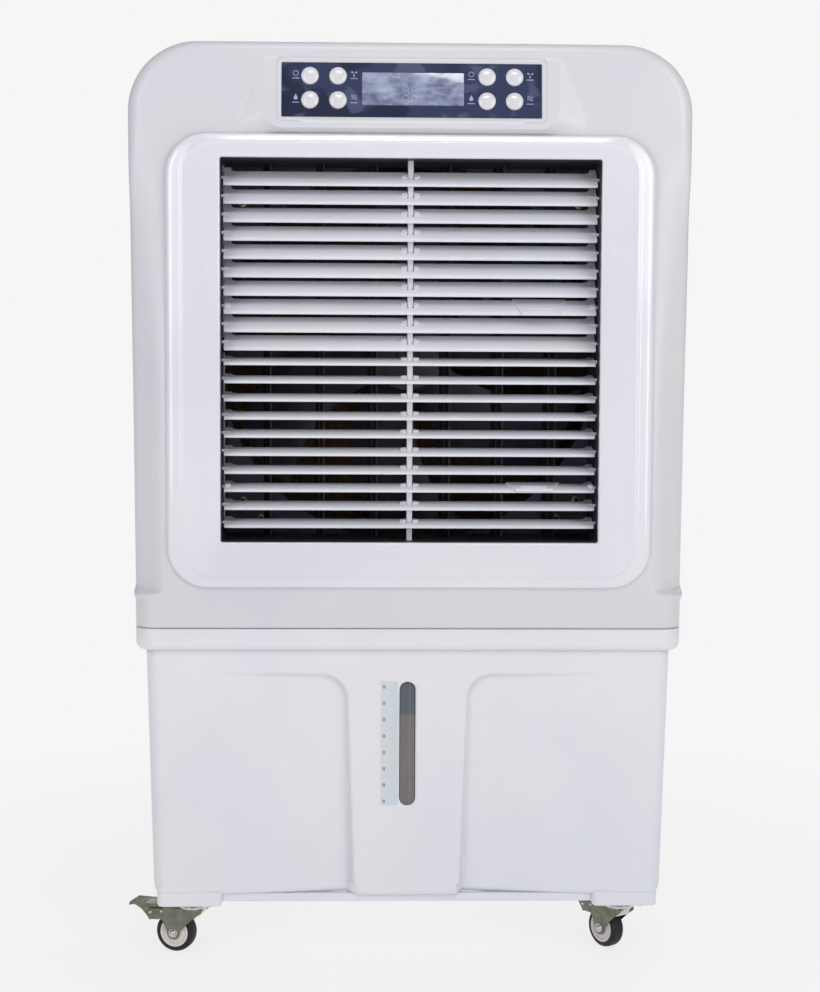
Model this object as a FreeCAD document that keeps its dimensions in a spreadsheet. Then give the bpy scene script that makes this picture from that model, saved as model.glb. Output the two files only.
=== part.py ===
import FreeCAD, Part
import math
import os
import re
import Sketcher

from FreeCAD import Placement, Rotation, Vector

# Evaporative cooler on casters: a louvred and fan-driven upper housing that stands on a water tank.
# Millimetres. +X is the viewer's right, the front faces -Y, +Z is up, and the origin lies on the floor
# under the middle of the object.

DIMENSIONS = (
    # Upper housing
    ("housing_top", 1118.0, "height of the housing's flat top"),
    ("half_depth", 215.0, "half the depth of housing and tank rim"),
    ("half_base", 333.5, "half width at the parting line"),
    ("half_crest", 342.0, "half width that the drafted sides reach at the top"),
    ("shoulder_radius", 82.0, "rounding of the two top corners"),
    ("corner_radius", 28.0, "rounding of the upright corners"),
    ("parting", 412.0, "height of the parting line between housing and tank"),
    ("parting_gap", 0.6, "half the open joint at the parting line"),
    ("wall", 3.0, "wall of the mouldings"),
    ("seam", 10.0, "where the front and rear shells meet, behind the middle"),
    ("strip_inner", 297.0, "half distance between the bevelled side strips"),
    ("strip_slope", 0.7, "how far a side strip runs back for each millimetre outwards"),
    ("strip_base", 454.0, "height where the side strips end"),
    # Control pod and panel
    ("pod_half", 175.0, "half width of the pod's face"),
    ("pod_flare", 205.0, "half width of the pod where it meets the housing"),
    ("pod_top", 1104.0, "height where the pod's face meets the housing"),
    ("pod_base", 1021.0, "height of the lower edge of the pod's face"),
    ("pod_foot", 1013.0, "height of the lower edge of the pod on the housing"),
    ("pod_proud", 11.0, "how far the pod's lower edge stands out"),
    ("panel_half", 160.0, "half width of the recess in the pod"),
    ("panel_rise", 36.0, "half height of the recess in the pod"),
    ("panel_sink", 2.5, "how deep the membrane lies in the recess"),
    ("panel_fit", 0.3, "gap round the panel and round each button"),
    ("button_radius", 10.5, "radius of a button's cap"),
    ("button_flange", 12.0, "radius of the flange that holds a button in"),
    ("button_proud", 3.5, "how far a cap stands above the membrane"),
    ("button_row", 14.5, "half distance between the two rows of buttons"),
    # Louvre frame
    ("bezel_half", 292.5, "half width of the raised frame"),
    ("bezel_low", 465.6, "lower edge of the raised frame"),
    ("bezel_high", 1009.0, "upper edge of the raised frame"),
    ("bezel_corner", 49.0, "corner radius of the raised frame"),
    ("bezel_proud", 8.0, "how far the frame stands out of the housing"),
    ("bezel_roll", 7.0, "rounding of the frame's outer edge"),
    ("opening_half", 227.5, "half width of the air opening"),
    ("opening_low", 521.5, "lower edge of the air opening"),
    ("opening_high", 980.3, "upper edge of the air opening"),
    ("duct_wall", 5.0, "wall of the duct behind the opening"),
    ("duct_back", 103.0, "how far ahead of the middle the duct ends"),
    ("post_width", 6.7, "width of the centre post"),
    # Louvre blades
    ("blade_top", 959.0, "height of the uppermost blade's axis"),
    ("blade_pitch", 21.9, "distance between blade axes"),
    ("blade_axis", 190.0, "how far ahead of the middle the blade axes lie"),
    ("blade_chord", 27.0, "width of a blade"),
    ("blade_gauge", 2.0, "thickness of a blade"),
    ("blade_camber", 1.5, "rise of a blade's middle over its edges"),
    ("blade_half", 225.0, "half length of a blade"),
    ("ear_width", 8.0, "width of the ears at a blade's ends"),
    ("ear_reach", 21.5, "how far the ears reach behind the axis"),
    ("blade_pin", 2.0, "radius of a blade's end pins"),
    ("clip_pin", 1.5, "radius of the short axle held by the centre post"),
    ("link_arm", 17.5, "distance from a blade's axis to its link pin"),
    ("link_pin", 1.25, "radius of a link pin"),
    ("link_gauge", 1.6, "thickness of a link bar"),
    ("running_fit", 0.06, "radial play of the small pins"),
    ("tilt_upper", 37.0, "tilt of the upper bank, front edge down"),
    ("tilt_lower", 13.0, "tilt of the lower bank, front edge down"),
    # Swing vanes
    ("vane_axis", 128.0, "how far ahead of the middle the vane axes lie"),
    ("vane_spacing", 65.5, "distance between vane axes"),
    ("vane_first", 45.0, "distance from the middle to the nearest vane axis"),
    ("vane_chord", 46.0, "width of a vane"),
    ("vane_gauge", 2.0, "thickness of a vane"),
    ("vane_pin", 2.5, "radius of a vane's pins"),
    ("vane_swing", 13.0, "swing of the vanes to the right"),
    # Fan
    ("fan_height", 750.0, "height of the fan's axis"),
    ("mouth_radius", 240.0, "radius of the shroud's mouth"),
    ("shroud_front", 95.0, "how far ahead of the middle the shroud plate lies"),
    ("shroud_plate", 3.0, "thickness of the shroud plate and ring"),
    ("shroud_half", 290.0, "half width of the shroud plate"),
    ("shroud_rise", 285.0, "half height of the shroud plate"),
    ("fan_tip", 228.0, "radius of the fan blades' tips"),
    ("fan_hub", 52.0, "radius of the fan's hub"),
    ("fan_shaft", 6.0, "radius of the motor shaft"),
    ("fan_chord", 118.0, "width of a fan blade"),
    ("fan_gauge", 3.0, "thickness of a fan blade"),
    ("fan_pitch", 30.0, "pitch of the fan blades"),
    ("fan_middle", 45.0, "how far ahead of the middle the fan blades lie"),
    ("motor_radius", 58.0, "radius of the motor"),
    ("motor_front", 27.0, "where the motor's front face lies, behind the middle"),
    ("motor_length", 80.0, "length of the motor"),
    # Pad, grille, pump
    ("pad_half", 270.0, "half width of the cooling pad"),
    ("pad_low", 455.0, "lower face of the cooling pad"),
    ("pad_high", 1045.0, "upper face of the cooling pad"),
    ("pad_front", 125.0, "where the pad's front face lies, behind the middle"),
    ("pad_gauge", 60.0, "thickness of the cooling pad"),
    ("grille_half", 285.0, "half width of the rear grille"),
    ("grille_low", 440.0, "lower edge of the rear grille"),
    ("grille_high", 1060.0, "upper edge of the rear grille"),
    ("grille_back", 225.0, "where the grille's outer face lies, behind the middle"),
    # Tank
    ("rim_low", 388.0, "lower edge of the tank's rim"),
    ("tank_half", 324.0, "half width of the tank under its rim"),
    ("tank_depth", 205.0, "half depth of the tank under its rim"),
    ("tank_base", 86.0, "height of the tank's underside"),
    ("tank_draft", 1.32, "draft of the tank's sides"),
    ("tank_corner", 18.0, "rounding of the tank's upright corners"),
    ("tank_edge", 9.0, "rounding of the tank's lower edge"),
    ("recess_top", 363.5, "upper edge of the two recessed panels"),
    ("recess_fade", 225.0, "distance from the middle where the panels run out"),
    ("recess_top_inner", 70.8, "distance from the middle to a panel, at its top"),
    ("recess_low_inner", 62.0, "distance from the middle to a panel, at its bottom"),
    ("recess_top_sink", 9.0, "depth of a panel beside the column, at its top"),
    ("recess_low_sink", 17.0, "depth of a panel beside the column, at its bottom"),
    ("recess_radius", 30.0, "corner radius of the panels"),
    ("foot_inner", 229.4, "distance from the middle to a foot pad"),
    ("foot_outer", 309.7, "distance from the middle to a foot pad's outer side"),
    ("foot_base", 66.4, "height of a foot pad's underside"),
    ("foot_length", 84.0, "length of a foot pad from front to back"),
    ("foot_front", 200.0, "how far ahead of the middle a foot pad starts"),
    ("sight_x", -1.3, "middle of the sight window"),
    ("sight_half", 9.5, "half width of the sight window"),
    ("sight_low", 195.0, "lower end of the sight window"),
    ("sight_high", 348.7, "upper end of the sight window"),
    ("spout_radius", 11.0, "outer radius of the drain spout"),
    ("spout_bore", 8.0, "bore of the drain spout"),
    ("spout_length", 19.5, "free length of a spout beyond its collar"),
    ("collar_radius", 16.0, "radius of the collar round a spout's root"),
    ("collar_face", 205.5, "where the collars' flat faces lie, behind the middle"),
    ("spout_x", 200.0, "distance of drain spout and water inlet from the middle"),
    ("drain_height", 112.0, "height of the drain spout"),
    ("inlet_height", 345.0, "height of the water inlet"),
    # Casters
    ("caster_x", 267.0, "distance of the swivel axes from the middle"),
    ("caster_y", 164.0, "distance of the swivel axes ahead of or behind the middle"),
    ("plate_side", 58.0, "side of a caster's top plate"),
    ("plate_gauge", 2.5, "thickness of a caster's top plate"),
    ("plate_inset", 3.0, "depth of the plate's seat in the foot pad"),
    ("race_radius", 18.0, "radius of the fixed race"),
    ("cup_radius", 20.0, "radius of the turning race"),
    ("kingpin_radius", 4.0, "radius of the kingpin"),
    ("trail", 23.0, "distance from the swivel axis to the wheel axle"),
    ("wheel_radius", 25.0, "radius of a caster wheel"),
    ("wheel_width", 18.4, "width of a caster wheel"),
    ("fork_inside", 10.2, "half the gap between the fork's legs"),
    ("fork_gauge", 2.0, "thickness of the fork's steel"),
    ("axle_radius", 3.0, "radius of a wheel's axle"),
    ("yoke_roof", 57.8, "height of the fork bridge's upper face"),
    ("yoke_front", 18.0, "how far the fork bridge reaches ahead of the swivel axis"),
    ("pedal_x", -53.7, "pedal pivot, measured forward from the swivel axis"),
    ("pedal_height", 49.0, "height of the pedal pivot"),
    ("pedal_tip", -82.0, "outer edge of the pedal's plate, measured like its pivot"),
    ("pedal_root", -44.0, "inner edge of the pedal's plate, measured like its pivot"),
    ("pedal_top", 60.8, "height of the pedal's plate"),
    ("pedal_width", 27.6, "width of the pedal's plate"),
    ("pedal_gauge", 1.8, "thickness of the pedal's steel"),
)

VALUES = {alias: value for alias, value, _ in DIMENSIONS}
WORD = re.compile(r"[a-z_]+")

doc = FreeCAD.newDocument("evaporative_cooler")
sheet = doc.addObject("Spreadsheet::Sheet", "dims")
for row, (alias, value, meaning) in enumerate(DIMENSIONS, start=1):
    sheet.set(f"A{row}", alias)
    sheet.set(f"B{row}", str(value))
    sheet.set(f"C{row}", meaning)
    sheet.setAlias(f"B{row}", alias)
doc.recompute()

NODES = []


# ---------------------------------------------------------------- helpers

def formula(text):
    """A formula over the sheet's aliases, as FreeCAD reads it."""
    return WORD.sub(lambda m: f"dims.{m[0]}" if m[0] in VALUES else m[0], str(text))


def bind(thing, **formulas):
    """Bind properties to formulas; a double underscore in a name stands for a dot."""
    for prop, text in formulas.items():
        thing.setExpression(prop.replace("__", "."), formula(text))


def place(thing, x="0", y="0", z="0", axis=None, angle="0"):
    """Bind an object's placement: a point and, if asked for, a turn about an axis."""
    if axis:
        thing.Placement = Placement(Vector(), Rotation(Vector(*axis), 1))
        bind(thing, Placement__Rotation__Angle=angle)
    bind(thing, Placement__Base__x=x, Placement__Base__y=y, Placement__Base__z=z)
    return thing


def box(name, low, size):
    """Box from its lowest corner and its sizes along X, Y and Z."""
    thing = doc.addObject("Part::Box", name)
    bind(thing, Length=size[0], Width=size[1], Height=size[2])
    return place(thing, *low)


TURNS = {"X": Rotation(Vector(0, 1, 0), 90), "Y": Rotation(Vector(1, 0, 0), -90), "Z": Rotation()}


def rod(name, start, radius, length, along="Z"):
    """Cylinder from its start point, running along +X, +Y or +Z."""
    thing = doc.addObject("Part::Cylinder", name)
    bind(thing, Radius=radius, Height=length)
    thing.Placement = Placement(Vector(), TURNS[along])
    return place(thing, *start)


def fuse(name, pieces):
    thing = doc.addObject("Part::MultiFuse", name)
    thing.Shapes = pieces
    return thing


def cut(name, base, tools):
    """Base without the tools."""
    thing = doc.addObject("Part::Cut", name)
    thing.Base = base
    thing.Tool = tools[0] if len(tools) == 1 else fuse(name + "_tools", tools)
    return thing


def group(name, pieces):
    """Separate solids that share one node."""
    thing = doc.addObject("Part::Compound", name)
    thing.Links = pieces
    return thing


def node(label, thing):
    """Name a finished sub-part."""
    thing.Label = label
    NODES.append(thing)
    return thing


def number(alias):
    """A driving dimension, read from the sheet."""
    return float(sheet.get(alias))


def polyhedron(name, points, faces):
    """Closed solid from corner points and the corner numbers of each flat face."""
    walls = [Part.Face(Part.makePolygon([points[i] for i in face + face[:1]])) for face in faces]
    solid = Part.Solid(Part.Shell(walls))
    if solid.Volume < 0:
        solid.reverse()
    thing = doc.addObject("Part::Feature", name)
    thing.Shape = solid
    return thing


class Moulding:
    """A PartDesign body, built feature by feature with its sizes bound to the sheet."""

    def __init__(self, name):
        self.name = name
        self.body = doc.addObject("PartDesign::Body", name)
        self.last = None

    def plane(self, role):
        return next(p for p in self.body.Origin.OriginFeatures if p.Role == role)

    def sketch(self, role, outline=(), circles=(), offset="0"):
        """Sketch on an origin plane: one closed polygon and any circles, as pairs of formulas."""
        sketch = self.body.newObject("Sketcher::SketchObject", self.name + "_sketch")
        sketch.AttachmentSupport = [(self.plane(role), "")]
        sketch.MapMode = "FlatFace"
        bind(sketch, AttachmentOffset__Base__z=offset)
        count = len(outline)
        starts = [Vector(math.cos(math.tau * i / count), math.sin(math.tau * i / count), 0)
                  for i in range(count)] if count else []
        for i, start in enumerate(starts):
            sketch.addGeometry(Part.LineSegment(start, starts[(i + 1) % count]), False)
        for i in range(count):
            sketch.addConstraint(Sketcher.Constraint("Coincident", i, 2, (i + 1) % count, 1))
        for i, (across, up) in enumerate(outline):
            self.pin(sketch, i, 1, across, up)
        for across, up, radius in circles:
            ring = sketch.addGeometry(Part.Circle(Vector(1, 1, 0), Vector(0, 0, 1), 1), False)
            self.pin(sketch, ring, 3, across, up)
            size = sketch.addConstraint(Sketcher.Constraint("Radius", ring, 1.0))
            sketch.setExpression(f"Constraints[{size}]", formula(radius))
        return sketch

    @staticmethod
    def pin(sketch, geometry, point, across, up):
        """Hold a sketch point at a place given by two formulas."""
        for kind, text in (("DistanceX", across), ("DistanceY", up)):
            index = sketch.addConstraint(Sketcher.Constraint(kind, -1, 1, geometry, point, 1.0))
            sketch.setExpression(f"Constraints[{index}]", formula(text))

    def feature(self, kind, sketch, **sizes):
        feature = self.body.newObject(f"PartDesign::{kind}", f"{self.name}_{kind.lower()}")
        feature.Profile = sketch
        bind(feature, **sizes)
        self.last = feature
        return feature

    def pad(self, sketch, length, reverse=False, middle=False, taper=None):
        pad = self.feature("Pad", sketch, Length=length)
        pad.Reversed = reverse
        pad.Midplane = middle
        if taper:
            bind(pad, TaperAngle=taper)
        return pad

    def pocket(self, sketch, length, reverse=False, middle=False):
        pocket = self.feature("Pocket", sketch, Length=length)
        pocket.Reversed = reverse
        pocket.Midplane = middle
        return pocket

    def revolve(self, sketch, axis):
        """Full turn of a sketch about one of its own axes, H_Axis or V_Axis."""
        turn = self.feature("Revolution", sketch)
        turn.ReferenceAxis = (sketch, [axis])
        turn.Angle = 360
        return turn

    def fillet(self, radius, chosen):
        """Round the edges whose middle point passes a test."""
        doc.recompute()
        base = self.body.Tip
        names = [f"Edge{i}" for i, edge in enumerate(base.Shape.Edges, start=1)
                 if chosen(edge.valueAt((edge.FirstParameter + edge.LastParameter) / 2), edge)]
        fillet = self.body.newObject("PartDesign::Fillet", self.name + "_fillet")
        fillet.Base = (base, names)
        bind(fillet, Radius=radius)
        self.body.Tip = fillet
        return fillet


def upright(edge):
    """True for an edge that runs mostly up and down."""
    ends = edge.Vertexes
    return len(ends) == 2 and abs(ends[0].Z - ends[1].Z) > 0.9 * edge.Length


def fore_and_aft(edge):
    """True for an edge that runs from front to back."""
    ends = edge.Vertexes
    return len(ends) == 2 and abs(ends[0].Y - ends[1].Y) > 0.9 * edge.Length


# ---------------------------------------------------------------- upper housing

SIDE = "half_base + (half_crest - half_base) * ({z} - parting) / (housing_top - parting)"


def side(height):
    """Half width of the drafted housing at a height."""
    return "(" + SIDE.format(z=height) + ")"


def housing_block(name, inset, front, back, low):
    """The housing's outline, drawn in by an inset, from one depth to another."""
    block = Moulding(name)
    outline = [(f"-{side(low)} + {inset}", low), (f"{side(low)} - {inset}", low),
               (f"half_crest - {inset}", f"housing_top - {inset}"),
               (f"-half_crest + {inset}", f"housing_top - {inset}")]
    block.pad(block.sketch("XZ_Plane", outline, offset=f"-({front})"), f"{back} - ({front})", reverse=True)
    block.fillet(f"shoulder_radius - {inset}",
                 lambda middle, edge: fore_and_aft(edge) and middle.z > number("shoulder_radius") * 10)
    return block


def bevel(block, inset, low):
    """Cut the two bevelled side strips off a block's front corners, from a height upwards."""
    near, far = f"(strip_inner - {inset} / 3)", "(half_crest + 10)"
    face = f"-half_depth + {inset}"
    for hand in ("", "-"):
        plan = [(f"{hand}{near}", face), (f"{hand}{near}", "-half_depth - 5"),
                (f"{hand}{far}", "-half_depth - 5"),
                (f"{hand}{far}", f"{face} + ({far} - {near}) * strip_slope")]
        block.pocket(block.sketch("XY_Plane", plan, offset=low), "housing_top", reverse=True)


def front_housing():
    outer = housing_block("front_block", "0", "-half_depth", "seam", "strip_base")
    bevel(outer, "0", "strip_base")
    band = Moulding("front_band")
    half = side("parting")
    rim = [(f"-{half}", "-half_depth"), (half, "-half_depth"), (half, "seam"), (f"-{half}", "seam")]
    band.pad(band.sketch("XY_Plane", rim, offset="parting + parting_gap"),
             "strip_base - parting - parting_gap")
    band.fillet("corner_radius", lambda middle, edge: upright(edge) and middle.y < 0)
    hollow = housing_block("front_hollow", "wall", "-half_depth + wall", "seam + 1", "parting - 1")
    bevel(hollow, "wall", "parting - 2")
    window = box("bezel_window", ("-opening_half - duct_wall - 0.5", "-half_depth - 1",
                                  "opening_low - duct_wall - 0.5"),
                 ("2 * (opening_half + duct_wall + 0.5)", "wall + 2",
                  "opening_high - opening_low + 2 * (duct_wall + 0.5)"))
    tray = box("panel_hole", ("-panel_half", "-10", "-panel_rise"),
               ("2 * panel_half", "40", "2 * panel_rise"))
    on_pod(tray, x="-panel_half", along="-panel_rise", sink="-10")
    shell = cut("front_shell", fuse("front_solid", [outer.body, band.body]), [hollow.body])
    solid = fuse("front_with_pod", [shell, pod_wedge()])
    return node("front_housing", cut("front_housing", solid, [window, tray]))


def pod_wedge():
    """The control pod: a face that leans out towards its lower edge, with flared sides."""
    face = -number("half_depth")
    root = face + number("wall") / 2
    proud = face - number("pod_proud")
    half, flare = number("pod_half"), number("pod_flare")
    top, base, foot = number("pod_top"), number("pod_base"), number("pod_foot")
    points = [Vector(-half, root, top), Vector(half, root, top), Vector(flare, root, foot),
              Vector(-flare, root, foot), Vector(-half, face, top), Vector(half, face, top),
              Vector(flare, face, foot), Vector(-flare, face, foot),
              Vector(half, proud, base), Vector(-half, proud, base)]
    faces = [[0, 1, 2, 3], [0, 4, 5, 1], [1, 5, 6, 2], [0, 3, 7, 4], [3, 2, 6, 7],
             [4, 9, 8, 5], [5, 8, 6], [4, 7, 9], [9, 7, 6, 8]]
    return polyhedron("pod_wedge", points, faces)


LEAN = "atan(pod_proud / (pod_top - pod_base))"
POD_MIDDLE = "((pod_top + pod_base) / 2)"


def on_pod(thing, x="0", along="0", sink="0"):
    """Place an object on the pod's leaning face: x across, along up the face, sink into it."""
    thing.Placement = Placement(Vector(), Rotation(Vector(-1, 0, 0), 1))
    bind(thing, Placement__Rotation__Angle=LEAN, Placement__Base__x=x,
         Placement__Base__y=f"-half_depth - pod_proud / 2 + ({along}) * sin({LEAN}) + ({sink}) * cos({LEAN})",
         Placement__Base__z=f"{POD_MIDDLE} + ({along}) * cos({LEAN}) - ({sink}) * sin({LEAN})")
    return thing


def rear_housing():
    outer = housing_block("rear_block", "0", "seam", "half_depth", "parting + parting_gap")
    outer.fillet("corner_radius", lambda middle, edge: upright(edge) and middle.y > number("seam") + 5)
    hollow = housing_block("rear_hollow", "wall", "seam - 1", "half_depth - wall", "parting - 1")
    hollow.fillet("corner_radius - wall",
                  lambda middle, edge: upright(edge) and middle.y > number("seam") + 5)
    window = box("grille_window", ("-grille_half + 12", "half_depth - wall - 1", "grille_low + 12"),
                 ("2 * (grille_half - 12)", "wall + 2", "grille_high - grille_low - 24"))
    shelves = []
    for tag, height in (("low", "pad_low - 6.3"), ("high", "pad_high + 0.3")):
        shelves.append(box("pad_shelf_" + tag, ("-half_base + 1.5", "pad_front - 2", height),
                           ("2 * half_base - 3", "half_depth - wall + 0.5 - (pad_front - 2)", "6")))
    inlet = rod("cord_gland", ("-250", "half_depth - 1.5", "426"), "9", "8", "Y")
    shell = cut("rear_shell", outer.body, [hollow.body, window])
    return node("rear_housing", fuse("rear_housing", [shell, inlet] + shelves))


# ---------------------------------------------------------------- control panel

BUTTON_COLUMNS = {"1": "-120.7", "2": "-87.5", "3": "89.3", "4": "122"}


def control_panel():
    """Tray with the membrane face, posts and the control board behind it, set in the pod's recess."""
    half, rise = "(panel_half - panel_fit)", "(panel_rise - panel_fit)"
    tray = Moulding("panel_tray")
    face = [(f"-{half}", f"-{rise}"), (half, f"-{rise}"), (half, rise), (f"-{half}", rise)]
    holes = [(x, f"{hand}button_row", "button_radius + panel_fit")
             for x in BUTTON_COLUMNS.values() for hand in ("", "-")]
    tray.pad(tray.sketch("XZ_Plane", face, holes, offset="-panel_sink"), "2", reverse=True)
    board = box("control_board", (f"-{half} + 12", "panel_sink + 10", f"-{rise} + 5"),
                (f"2 * {half} - 24", "1.6", f"2 * {rise} - 10"))
    posts = [rod(f"board_post_{i}", (f"{x} * ({half} - 20)", "panel_sink + 1", f"{z} * ({rise} - 10)"),
                 "3", "9.5", "Y") for i, (x, z) in enumerate(((-1, -1), (1, -1), (-1, 1), (1, 1)))]
    return node("control_panel", on_pod(fuse("control_panel", [tray.body, board] + posts)))


def button(number_of, across, along):
    """A domed cap on a flange that keeps it behind the membrane."""
    cap = Moulding(f"button_{number_of}")
    profile = [("0", "-button_proud"), ("button_radius * 0.55", "-button_proud * 0.93"),
               ("button_radius * 0.86", "-button_proud * 0.66"), ("button_radius", "-button_proud * 0.2"),
               ("button_radius", "2.3"), ("button_flange", "2.3"), ("button_flange", "3.8"), ("0", "3.8")]
    cap.revolve(cap.sketch("XY_Plane", profile), "V_Axis")
    return node(f"button_{number_of}", on_pod(cap.body, x=across, along=along, sink="panel_sink"))


def buttons():
    places = [(x, row) for row in ("button_row", "-button_row") for x in BUTTON_COLUMNS.values()]
    for number_of, (across, along) in enumerate(places, start=1):
        button(number_of, across, along)


# ---------------------------------------------------------------- louvres

BLADES = range(1, 21)
LAST_UPPER = 10
DRIVERS = (8, 18)


def blade_height(index):
    return f"(blade_top - {index - 1} * blade_pitch)"


def blade_tilt(index):
    return "tilt_upper" if index <= LAST_UPPER else "tilt_lower"


def louvre_frame():
    """Raised frame, the duct behind it, and the centre post that holds the blades' middles."""
    frame = Moulding("louvre_bezel")
    outline = [("-bezel_half", "bezel_low"), ("bezel_half", "bezel_low"),
               ("bezel_half", "bezel_high"), ("-bezel_half", "bezel_high")]
    frame.pad(frame.sketch("XZ_Plane", outline, offset="half_depth + 0.05"), "bezel_proud")
    frame.fillet("bezel_corner", lambda middle, edge: fore_and_aft(edge))
    frame.fillet("bezel_roll", lambda middle, edge: middle.y < -number("half_depth") - number("bezel_proud"))
    width = "(opening_half + duct_wall)"
    duct = box("duct_block", (f"-{width}", "-half_depth - 1", "opening_low - duct_wall"),
               (f"2 * {width}", "half_depth + 1 - duct_back", "opening_high - opening_low + 2 * duct_wall"))
    air = box("duct_air", ("-opening_half", "-half_depth - 20", "opening_low"),
              ("2 * opening_half", "half_depth", "opening_high - opening_low"))
    post = box("centre_post", ("-post_width / 2", "-blade_axis - 1", "opening_low - 1"),
               ("post_width", "20", "opening_high - opening_low + 2"))
    pins = [rod(f"blade_bore_{i:02d}", ("-blade_half - 4", "-blade_axis", blade_height(i)),
                "blade_pin + running_fit", "2 * blade_half + 8", "X") for i in BLADES]
    clips = [rod(f"clip_bore_{i:02d}", ("-post_width", "-blade_axis", blade_height(i)),
                 "clip_pin + running_fit", "2 * post_width", "X") for i in BLADES]
    sockets = [rod(f"vane_bore_{i}", (x, "-vane_axis", "opening_low - 4"), "vane_pin + running_fit",
                   "opening_high - opening_low + 8") for i, x in enumerate(VANE_PLACES)]
    hollow = cut("louvre_duct", fuse("louvre_solid", [frame.body, duct]), [air] + pins + sockets)
    return node("louvre_frame", fuse("louvre_frame", [hollow, cut("clip_post", post, clips)]))


def blade_section(name, half_length):
    """The blade's cambered plate, running along X about its own axis."""
    plate = Moulding(name)
    edge, rise, half = "(blade_chord / 2)", "blade_camber", "(blade_gauge / 2)"
    section = [(f"-{edge}", f"-{half}"), ("0", f"{rise} - {half} - 0.5"), (edge, f"-{half}"), (edge, half),
               ("0", f"{rise} + {half} - 0.5"), (f"-{edge}", half)]
    plate.pad(plate.sketch("YZ_Plane", section), f"2 * {half_length}", middle=True)
    return plate


def louvre_blade(index):
    """One blade with its end pins, clip axle, ears and link pin; the two drivers carry a thumb tab."""
    name = f"louvre_blade_{index:02d}"
    plate = blade_section(f"blade_plate_{index:02d}", "blade_half")
    notch = box("notch_" + name, ("-4.5", "-5", "-5"), ("9", "40", "10"))
    pieces = [cut("notched_" + name, plate.body, [notch]),
              rod("axle_" + name, ("-6", "0", "0"), "clip_pin", "12", "X")]
    for tag, hand, start in (("left", -1, "-blade_half - 4"), ("right", 1, "blade_half - 6")):
        low = "-blade_half" if hand < 0 else "blade_half - ear_width"
        pieces.append(rod(f"pin_{tag}_{name}", (start, "0", "0"), "blade_pin", "10", "X"))
        pieces.append(box(f"ear_{tag}_{name}", (low, "blade_chord / 2 - 2", "-blade_gauge / 2"),
                          ("ear_width", "ear_reach - blade_chord / 2 + 2", "blade_gauge")))
        if index in DRIVERS:
            pieces.append(box(f"stop_{tag}_{name}", (low, "-7", "-3.5"), ("7", "7", "7")))
    pieces.append(rod("link_" + name, ("-blade_half - 2.1", "link_arm", "0"), "link_pin", "5", "X"))
    if index in DRIVERS:
        shift = "0" if index == DRIVERS[0] else "-5.5"
        tab = box("tab_" + name, (f"123.3 + {shift}", "-17.5", "0.5"), ("66.6", "31", "2.6"))
        pieces.append(tab)
    blade = fuse(name, pieces)
    return node(name, place(blade, "0", "-blade_axis", blade_height(index), (1, 0, 0), blade_tilt(index)))


def link_bar(label, first, last):
    """Upright bar that ties the link pins of one bank together."""
    tilt = blade_tilt(first)
    across = ("-blade_half - 2.1", f"-blade_axis + link_arm * cos({tilt})")
    rise = f"link_arm * sin({tilt})"
    bar = box("bar_" + label, ("-blade_half - 2.1", f"{across[1]} - 3", f"{blade_height(last)} + {rise} - 5"),
              ("link_gauge", "6", f"{last - first} * blade_pitch + 10"))
    holes = [rod(f"hole_{label}_{i}", ("-blade_half - 3", across[1], f"{blade_height(i)} + {rise}"),
                 "link_pin + running_fit", "5", "X") for i in range(first, last + 1)]
    return node(label, cut(label, bar, holes))


VANE_PLACES = [f"{hand}(vane_first + {i} * vane_spacing)"
               for hand, steps in (("-", (2, 1, 0)), ("", (0, 1, 2)))
               for i in steps]


def swing_vane(index, across):
    """Upright vane that turns on a pin at each end."""
    vane = Moulding(f"vane_{index}")
    tall = "(opening_high - opening_low)"
    plan = [("-vane_gauge / 2", "-vane_chord / 2"), ("vane_gauge / 2", "-vane_chord / 2"),
            ("vane_gauge / 2", "vane_chord / 2"), ("-vane_gauge / 2", "vane_chord / 2")]
    vane.pad(vane.sketch("XY_Plane", plan, offset="1"), f"{tall} - 2")
    vane.pad(vane.sketch("XY_Plane", circles=[("0", "0", "vane_pin")], offset="-3.5"), f"{tall} + 7")
    return node(f"swing_vane_{index}", place(vane.body, across, "-vane_axis", "opening_low",
                                             (0, 0, 1), "vane_swing"))


# ---------------------------------------------------------------- fan

SHROUD_SCREWS = (("-209", "562"), ("-186", "539"), ("214.6", "563.6"), ("190", "540"),
                 ("-209", "938"), ("214.6", "938"))
FAN_BLADES = 6


def fan_shroud():
    """Plate with a round mouth, the ring behind it, and the spider that carries the motor."""
    plate = Moulding("shroud_panel")
    low, high = "fan_height - shroud_rise", "fan_height + shroud_rise"
    outline = [("-shroud_half", low), ("shroud_half", low), ("shroud_half", high), ("-shroud_half", high)]
    holes = [(x, z, "2.2") for x, z in SHROUD_SCREWS]
    plate.pad(plate.sketch("XZ_Plane", outline, [("0", "fan_height", "mouth_radius")] + holes,
                           offset="shroud_front"), "shroud_plate", reverse=True)
    ring = Moulding("shroud_ring")
    circles = [("0", "fan_height", "mouth_radius"), ("0", "fan_height", "mouth_radius + shroud_plate")]
    ring.pad(ring.sketch("XZ_Plane", circles=circles, offset="shroud_front"), "shroud_front + 26",
             reverse=True)
    boss = Moulding("motor_boss")
    circles = [("0", "fan_height", "motor_radius"), ("0", "fan_height", "14")]
    boss.pad(boss.sketch("XZ_Plane", circles=circles, offset="-motor_front + 5"), "4.8", reverse=True)
    reach = "(mouth_radius + 1 - 50)"
    arms = [box("arm_right", ("50", "motor_front - 5", "fan_height - 8"), (reach, "4", "16")),
            box("arm_left", (f"-50 - {reach}", "motor_front - 5", "fan_height - 8"), (reach, "4", "16")),
            box("arm_up", ("-8", "motor_front - 5", "fan_height + 50"), ("16", "4", reach)),
            box("arm_down", ("-8", "motor_front - 5", f"fan_height - 50 - {reach}"), ("16", "4", reach))]
    return node("fan_shroud", fuse("fan_shroud", [plate.body, ring.body, boss.body] + arms))


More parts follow.
